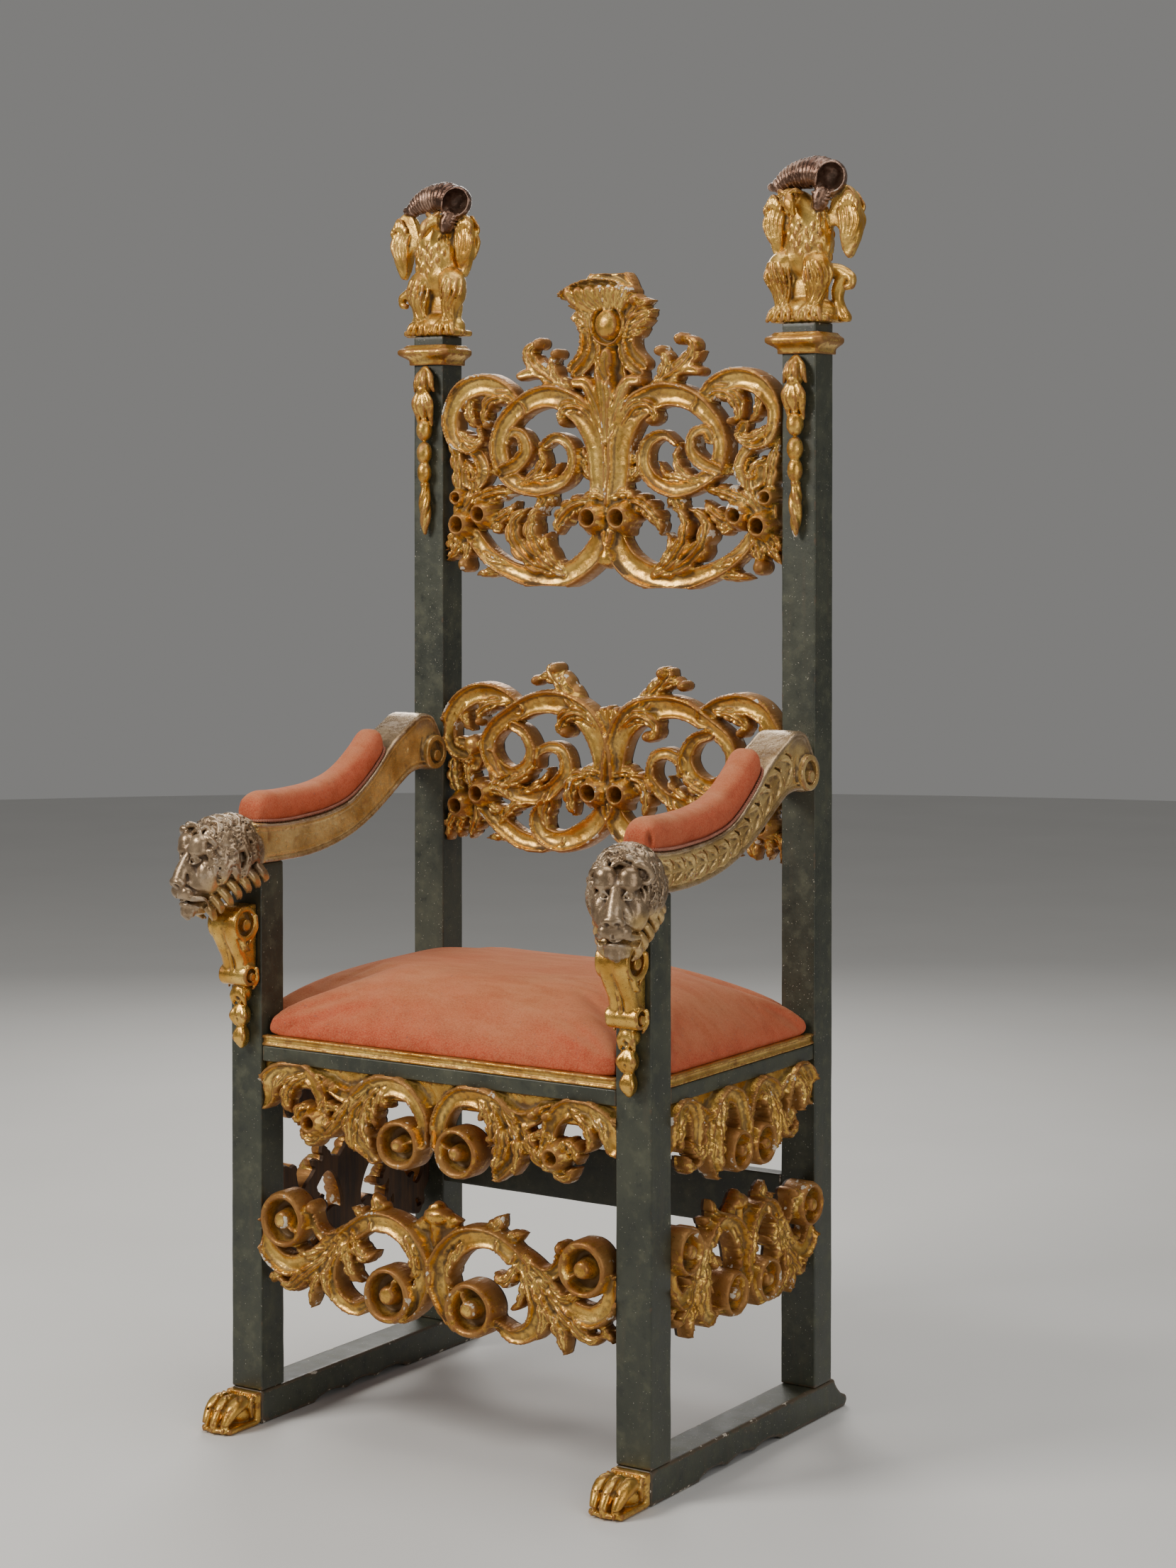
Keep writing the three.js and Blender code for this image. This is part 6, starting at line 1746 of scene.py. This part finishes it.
def sculptPaw():
    top = runnerTop
    c = Clay((postX - 32, -79, -2), (postX + 32, 3, top + 4), runnerLook["pawCell"])
    c.place((postX, 0, 0))
    c.slab((-26, -11, 2), (26, 0.5, top - 1), 3.5, 2)
    c.slab((-26.5, -13, top - 15), (26.5, 0.5, top - 0.6), 2.6, 1)
    c.ball((0, -24, 22), (24, 22, 20), 4)
    for x, out in ((-16.5, 0), (0, -3), (16.5, 0)):
        c.limb([(x * 0.9, -17, 30), (x * 1.02, -34 + out, 36), (x * 1.06, -50 + out, 31), (x, -62 + out, 20),
                (x * 0.98, -67 + out, 13)], [8, 10.4, 10.6, 8.4, 5.5], 1.4)
        c.limb([(x * 0.98, -64 + out, 15), (x * 0.98, -70 + out, 9), (x * 0.98, -72 + out, 4)], [4, 3, 1.6], 0.8)
        c.groove([(x - 6, -56 + out, 31), (x, -62 + out, 30), (x + 6, -56 + out, 30)], [1.3, 1.4, 1.3], 1.2)
        c.groove([(x + 8, -18, 40), (x + 3, -32 + out, 46.5), (x - 6, -44 + out, 43)], [1.5, 1.8, 1.4], 1.6)
    for x in (-8.3, 8.3):
        c.groove([(x, -18, 42), (x, -40, 43), (x, -58, 31), (x, -72, 14)], [2.6, 3, 2.8, 2.6], 1.6)
    for s in (-1, 1):
        # hollow with its rim behind the outer toes
        c.limb([(s * 25, -19, 41), (s * 27.5, -26, 30), (s * 26, -22, 16)], [2.6, 3.2, 2.4], 1)
        c.groove([(s * 27.5, -15, 38), (s * 29.5, -19, 27), (s * 28, -16, 14)], [2.4, 3.4, 2.4], 1.2)
        c.ball((s * 22, -15, 38), (4.4, 4, 4.4), 0.8)
    c.slab((-26, -67, 0.4), (26, -4, 9.4), 4.2, 2)
    c.ball((0, -60, 5), (22, 13, 5), 2)
    c.groove([(-30, -20, 11), (-27, -50, 11.5), (-14, -74, 11), (14, -74, 11), (27, -50, 11.5), (30, -20, 11)],
           [2.2, 2.4, 2.2, 2.2, 2.4, 2.2], 1.4)
    for x in np.arange(-22, 23, 4.4):
        c.groove([(x, -13.4, top - 3), (x + 0.6, -13.2, top - 12)], [0.9, 1.0], 0.7)
    c.clear((-60, 0.4, -8), (60, 20, 80))
    c.clear((-60, -100, -10), (60, 20, 0.3))
    c.roughen(0.16, 9, 91)
    return c.skin()


def sculptRunner():
    top = runnerTop
    c = Clay((postX - 30, -4, -3), (postX + 30, 524, top + 3), runnerLook["cell"])
    c.place((postX, 0, 0))
    outline = [(0, 0), (120.6, 0)]
    for k in range(3):
        for t in np.linspace(0, 1, 12):
            outline.append((120.6 + 70 * (k + t), 9 * (0.35 + 0.65 * abs(math.sin(math.pi * t)))))
    outline += [(330.7, 0), (512.3, 0), (519.3, 8), (516.3, 15), (502.3, 21), (491.3, 30), (484.3, 39), (481.3, top),
                (0, top)]
    half = (halfWidth - clearHalf) / 2
    c.plate(outline, -half, half, 1.6, 0.5)
    c.roughen(0.22, 60, 95)
    return c.skin()


def runners():
    paw, runner = sculptPaw(), sculptRunner()
    points, faces = joined([paw[:2], runner[:2]])
    kinds = np.repeat([0, 1], [len(paw[1]), len(runner[1])])
    for side, way in (("left", -1), ("right", 1)):
        makePiece("sledge_" + side + "_runner", points * [way, 1, 1], forSide(faces, way),
                  [giltWorn, green], side + "_runner", kinds=kinds, relief=(3, 30, 0.3, 2.0),
                  share=runnerLook["meshShare"])


# Gilt mouldings round the seat, and the capitals on the rear posts
def sweptStrip(name, profile, stations, node, finish):
    # a profile of (out, up) carried along stations of (x, y, out x, out y)
    stations = np.asarray(stations, float)
    dense = []
    for a, b in zip(stations[:-1], stations[1:]):
        count = max(2, int(np.hypot(*(b - a)[:2]) / 8))
        dense += [a + (b - a) * t for t in np.linspace(0, 1, count, endpoint=False)]
    dense.append(stations[-1])
    profile = np.asarray(profile, float)
    rings = [np.column_stack([s[0] + s[2] * profile[:, 0], s[1] + s[3] * profile[:, 0], profile[:, 1]]) for s in dense]
    points, faces = tube(rings)
    low, high = points.min(0), points.max(0)
    points = points + 0.22 * np.column_stack([ripple(k + len(node), 26, *points.T) for k in (3, 4, 5)])
    points = np.clip(points, low, high)
    return makePiece(name, points, faces, [finish], node,
                     relief=(1, 5, 0.25, 2.0))


mouldingProfile = [(0, 0), (5, 0), (10.4, 0), (11.6, 0.7), (12, 1.9), (11.6, 3.1), (10.5, 3.9), (9.7, 4.6), (9.6, 7.2),
                   (9.7, 9.7), (10.5, 10.4), (11.6, 11.3), (12, 12.4), (11.6, 13.6), (10.4, 14.2), (5, 14.4), (0, 14.4),
                   (0, 7)]
capitalProfile = [(0, 0), (3.2, 0), (4.1, 0.8), (4.2, 5.4), (5.0, 7.4), (7.6, 9.6), (11.2, 11.8), (14.4, 13.8),
                  (16.4, 15.8), (17, 18), (17, 20.6), (16, 22.6), (13.4, 24.2), (10.6, 26), (8.6, 28), (7.4, 29.4),
                  (6.2, 30), (0, 30), (0, 15)]


def mouldings():
    for node, ways in (("front_seat_moulding", (0, -1)), ("back_seat_moulding", (0, 1)),
                       ("left_seat_moulding", (-1, 0)), ("right_seat_moulding", (1, 0))):
        low, high = drawnBox(node)
        profile = [(out, low[2] + up) for out, up in mouldingProfile]
        if ways[1]:
            y = high[1] if ways[1] < 0 else low[1]
            ends = [(low[0], y, 0, ways[1]), (high[0], y, 0, ways[1])]
            ends = ends[::-1] if ways[1] < 0 else ends
        else:
            x = low[0] if ways[0] > 0 else high[0]
            ends = [(x, high[1], ways[0], 0), (x, low[1], ways[0], 0)]
            ends = ends[::-1] if ways[0] < 0 else ends
        sweptStrip("gilt_" + node, profile, ends, node, giltWorn)
    for side, way in (("left", -1), ("right", 1)):
        low, high = drawnBox(side + "_capital")
        middle, half = way * postX, (halfWidth - clearHalf) / 2 + jointGap
        profile = [(out, low[2] + up) for out, up in capitalProfile]
        sweptStrip("gilt_" + side + "_capital", profile,
                   [(middle + half, rearBack, 1, 0), (middle + half, rearFace - jointGap, 1, -1),
                    (middle - half, rearFace - jointGap, -1, -1), (middle - half, rearBack, -1, 0)], side + "_capital",
                    giltWorn)


# Velvet seat and arm pads, filled like real stuffing
seatLook = {"meshShare": 0.34, "setback": 1.5, "crown": 94, "cell": 6.0, "puff": 24, "fill": 0.85, "pressure": 4.0,
            "clayCell": 5.0, "startsLower": 10, "softTop": 8}
padLook = {"meshShare": 0.5, "width": 53, "height": 46, "from": 3, "to": 288, "cell": 4.0, "puff": 6, "fill": 0.85,
           "braid": 2.3, "pitch": 7.5}


def filled(points, faces, voxel, most, floor):
    # the cover is blown up from within for twenty frames, and no point moves further than most
    mesh = bpy.data.meshes.new("cover")
    mesh.from_pydata(toMetres(points).tolist(), [], asLists(faces))
    cover = linked("cover", mesh)
    remesh = cover.modifiers.new("even", "REMESH")
    remesh.mode = "VOXEL"
    remesh.voxel_size = voxel / 1000
    even = evaluated(cover)
    cover.modifiers.clear()
    cover.data = even
    start = pointsOf(even)
    held = cover.vertex_groups.new(name="held")
    held.add([int(i) for i in np.nonzero(start[:, 2] < floor)[0]], 1.0, "REPLACE")
    cloth = cover.modifiers.new("filling", "CLOTH")
    settings = cloth.settings
    settings.quality = 5
    settings.mass = 0.3
    settings.use_pressure = True
    settings.uniform_pressure_force = seatLook["pressure"]
    settings.vertex_group_mass = "held"
    settings.tension_stiffness = settings.compression_stiffness = 15
    settings.bending_stiffness = 0.6
    settings.effector_weights.gravity = 0
    cloth.collision_settings.use_collision = False
    cloth.point_cache.frame_start, cloth.point_cache.frame_end = 1, 20
    for frameNumber in range(1, 21):
        bpy.context.scene.frame_set(frameNumber)
    blown = evaluated(cover)
    moved = pointsOf(blown) - start
    length = np.linalg.norm(moved, axis=1, keepdims=True)
    end = start + moved * (most * (1 - np.exp(-length / most)) / np.maximum(length, 1e-6))
    bpy.context.scene.frame_set(1)
    cover.modifiers.clear()
    even.vertices.foreach_set("co", toMetres(end).ravel())
    finer = cover.modifiers.new("finer", "SUBSURF")
    finer.levels = finer.render_levels = 1
    done = evaluated(cover)
    points = pointsOf(done)
    faces = [list(polygon.vertices) for polygon in done.polygons]
    bpy.data.objects.remove(cover)
    for old in (mesh, even, blown, done):
        bpy.data.meshes.remove(old)
    return points, faces


def pointsOf(mesh):
    return (triples(mesh.vertices, "co") - [0, frontFace, 0]) * 1000


def topTones(piece):
    # the upper side of the velvet has faded
    up = step01(triples(piece.data.vertex_normals, "vector")[:, 2], 0.35, 0.97)
    setValues(piece.data.attributes["tone"], up)


def seatOutline(inset):
    x, notchX = halfWidth - seatLook["setback"] - inset, clearHalf - 1 - inset
    front, notchFront = seatLook["setback"] + inset, postDepth + 1 + inset
    back, notchBack = rearBack - seatLook["setback"] - inset, rearFace - 1 - inset
    right = [(notchX, front), (notchX, notchFront), (x, notchFront), (x, notchBack), (notchX, notchBack),
             (notchX, back)]
    return right + [(-a, b) for a, b in right[::-1]]


def seat():
    frontLow, frontHigh = drawnBox("front_seat_moulding")
    low, floor = frontHigh[2] + jointGap, frontLow[2]
    c = Clay((-halfWidth - 8, -8, floor - 8), (halfWidth + 8, rearBack + 8, low + seatLook["crown"] + 12),
             seatLook["clayCell"])
    x, y, z = np.meshgrid(*c.axes, indexing="ij", sparse=True)
    inside = -outlineDistance(seatOutline(2.5), x[:, :, 0], y[:, :, 0])[:, :, None]
    share = np.interp(inside, (0, 5, 12, 36, 70, 110, 150, 210), (0.15, 0.27, 0.37, 0.58, 0.78, 0.92, 0.98, 1.0))
    crown = seatLook["crown"] - seatLook["startsLower"]
    dome = low + crown * share + 2.5 * ripple(3, 260, x, y)
    for _ in range(3):
        around = dome[:-2, 1:-1] + dome[2:, 1:-1] + dome[1:-1, :-2] + dome[1:-1, 2:]
        dome[1:-1, 1:-1] = (dome[1:-1, 1:-1] + around / 4) / 2
    upper = np.maximum(np.maximum(-inside, (z - dome) * 0.8), low - z)
    plug = np.maximum(np.maximum(14.5 - inside, z - low - 8), floor + 0.6 - z)
    c.field = np.minimum(upper, plug).astype(np.float32)
    points, faces = c.skin()[:2]
    points, faces = filled(points, faces, seatLook["cell"], seatLook["puff"], low + 3)
    # the cover stays off the posts and within the seat's own height
    away = outlineDistance(seatOutline(0.4), points[:, 0], points[:, 1])
    gradient = np.stack([outlineDistance(seatOutline(0.4), points[:, 0] + 0.5, points[:, 1]) - away,
                         outlineDistance(seatOutline(0.4), points[:, 0], points[:, 1] + 0.5) - away], 1) / 0.5
    points[:, :2] -= gradient * np.maximum(0, away)[:, None]
    top, soft, z = low + seatLook["crown"], seatLook["softTop"], points[:, 2]
    points[:, 2] = np.where(z > top - soft, top - soft + soft * (1 - np.exp(-(z - top + soft) / soft)), z)
    piece = makePiece("velvet_seat", points, faces, [velvet], "seat_cushion", tones=np.zeros(len(points)),
                      relief=(4, 30, 0.5, 3.0), share=seatLook["meshShare"])
    topTones(piece)


def rope(path, radius, pitch):
    path = np.asarray(path, float)
    run = np.gradient(path, axis=0)
    run /= np.linalg.norm(run, axis=1, keepdims=True)
    aside = np.cross(run, [0, 0, 1])
    aside /= np.linalg.norm(aside, axis=1, keepdims=True)
    up = np.cross(aside, run)
    gone = np.concatenate([[0], np.cumsum(np.linalg.norm(np.diff(path, axis=0), axis=1))])
    turns = max(1, round(gone[-1] / pitch))
    parts = []
    for strand in range(2):
        angle = (2 * math.pi * turns * gone / gone[-1] + math.pi * strand)[:, None]
        middle = path + 0.5 * radius * (np.cos(angle) * aside + np.sin(angle) * up)
        rings = [middle[k] + 0.6 * radius * np.array([math.cos(a) * aside[k] + math.sin(a) * up[k]
                                                      for a in np.linspace(0, 2 * math.pi, 6, endpoint=False)])
                 for k in range(len(path))]
        parts.append(tube(rings, False, False))
    return joined(parts)


def padShape():
    line = curveThrough(armTop, 1.0)
    line = line[(line[:, 0] > padLook["from"]) & (line[:, 0] < padLook["to"])]
    half = padLook["width"] / 2 - 2
    rings, edge = [], []
    gone = np.concatenate([[0], np.cumsum(np.linalg.norm(np.diff(line, axis=0), axis=1))])
    for s in np.concatenate([[0, 0.6, 1.6, 3.2, 5.5, 9], np.linspace(14, gone[-1] - 14, 44),
                             gone[-1] - np.array([9, 5.5, 3.2, 1.6, 0.6, 0])]):
        y, z = np.interp(s, gone, line[:, 0]), np.interp(s, gone, line[:, 1])
        end = min(s, gone[-1] - s)
        wide = half * (0.62 + 0.38 * math.sqrt(max(0, 1 - (1 - min(1, end / 20)) ** 2)))
        tall = (padLook["height"] - 4) * (0.30 + 0.70 * math.sqrt(max(0, 1 - (1 - min(1, end / 30)) ** 2)))
        ring = [(postX + a * wide, y, frontTop + z + 1.0) for a in (-0.9, -0.45, 0, 0.45, 0.9)]
        for a in np.linspace(0.02, math.pi - 0.02, 22):
            cosA, sinA = math.cos(a), math.sin(a)
            ring.append((postX + wide * math.copysign(abs(cosA) ** 0.6, cosA), y,
                         frontTop + z + 1.4 + tall * sinA ** 0.72))
        rings.append(ring)
        edge.append((wide, y, frontTop + z))
    points, faces = tube(rings)
    return points, faces, edge


def pads():
    points, faces, edge = padShape()
    points, faces = filled(points, faces, padLook["cell"], padLook["puff"], -1e4)
    # the dent at the outer front corner
    at = np.array([postX + 21.5, 7, frontTop + 72])
    near = np.exp(-np.sum(((points - at) / [6, 5, 15]) ** 2, 1))
    near = near - 0.35 * np.exp(-np.sum(((points - at) / [13, 11, 18]) ** 2, 1))
    points = points - near[:, None] * np.array([9.5, -9.5, 0])
    outline = [(postX + (w + 1.6), y, z + 3.0) for w, y, z in edge]
    outline += [(postX - (w + 1.6), y, z + 3.0) for w, y, z in edge[::-1]]
    outline.append(outline[0])
    ropePoints, ropeFaces = rope(curveThrough(outline, 1.6), padLook["braid"], padLook["pitch"])
    whole, allFaces = joined([(points, asLists(faces)), (ropePoints, ropeFaces)])
    kinds = np.repeat([0, 1], [len(faces), len(ropeFaces)])
    for side, way in (("left", -1), ("right", 1)):
        piece = makePiece("velvet_" + side + "_arm_pad", whole * [way, 1, 1], forSide(allFaces, way),
                          [velvet, braid], side + "_arm_pad", tones=np.zeros(len(whole)), kinds=kinds,
                          relief=(3, 20, 0.5, 3.0), share=padLook["meshShare"])
        topTones(piece)


sculptArm()
print("arms and lions modelled")
sculptBracket()
sculptDrop()
print("brackets and husk drops modelled")
sculptEagles()
print("eagles modelled")
runners()
mouldings()
print("runners, mouldings and capitals made")
seat()
pads()
print("velvet seat and pads filled")


# Camera, floor and soft light
view = {"place": (2330.9, -3190.7, 1260.0), "turn": 33.168, "down": 0.948, "lens": 69.23, "rise": -0.1474}

cameraData = bpy.data.cameras.new("studioCamera")
camera = linked("studioCamera", cameraData)
bpy.context.scene.camera = camera
cameraData.lens = view["lens"]
cameraData.sensor_width = 36
cameraData.sensor_fit = "AUTO"
cameraData.shift_y = view["rise"]
turn, down = math.radians(view["turn"]), math.radians(view["down"])
look = Vector((-math.sin(turn) * math.cos(down), math.cos(turn) * math.cos(down), -math.sin(down)))
camera.matrix_world = aimed(toMetres([view["place"]])[0], look)


def softLight(name, place, target, size, power, tint=(1, 1, 1)):
    data = bpy.data.lights.new(name, "AREA")
    data.shape = "RECTANGLE"
    data.size, data.size_y = size
    data.energy = power
    data.color = tint
    lamp = linked(name, data)
    aim = Vector(target) - Vector(place)
    lamp.matrix_world = aimed(place, aim)


softLight("keyLight", (-1.6, -2.6, 2.9), (0, 0, 0.8), (1.3, 1.3), 112, (1.0, 0.96, 0.90))
softLight("fillLight", (2.9, -1.5, 1.5), (0, 0, 0.8), (1.8, 2.2), 30, (1.0, 0.98, 0.96))
softLight("topLight", (0.3, 0.2, 3.4), (0, 0, 0.6), (2.2, 2.2), 48, (1.0, 0.98, 0.95))
softLight("rimLight", (-1.8, 2.4, 2.3), (0, 0, 0.9), (1.4, 1.8), 50, (1.0, 0.97, 0.92))

world = bpy.data.worlds.new("studioWorld")
bpy.context.scene.world = world
world.use_nodes = True
world.node_tree.nodes["Background"].inputs["Color"].default_value = (0.76, 0.75, 0.73, 1)
world.node_tree.nodes["Background"].inputs["Strength"].default_value = 0.28


def studioFloor():
    f = Finish("pale floor")
    cloud = f.noise(2.2, 3)
    colour = f.mix(cloud, (0.60, 0.595, 0.58), (0.66, 0.655, 0.64))
    f.finish(colour, 0.7, 0.0, f.noise(180, 2), 0.0005, 0.15)
    mesh = bpy.data.meshes.new("studioFloor")
    around = [(9 * math.cos(a), 9 * math.sin(a), 0) for a in np.linspace(0, 2 * math.pi, 96, endpoint=False)]
    mesh.from_pydata(around, [], [list(range(96))])
    mesh.materials.append(f.material)
    linked("studioFloor", mesh)


studioFloor()
print("camera, floor and lights placed")
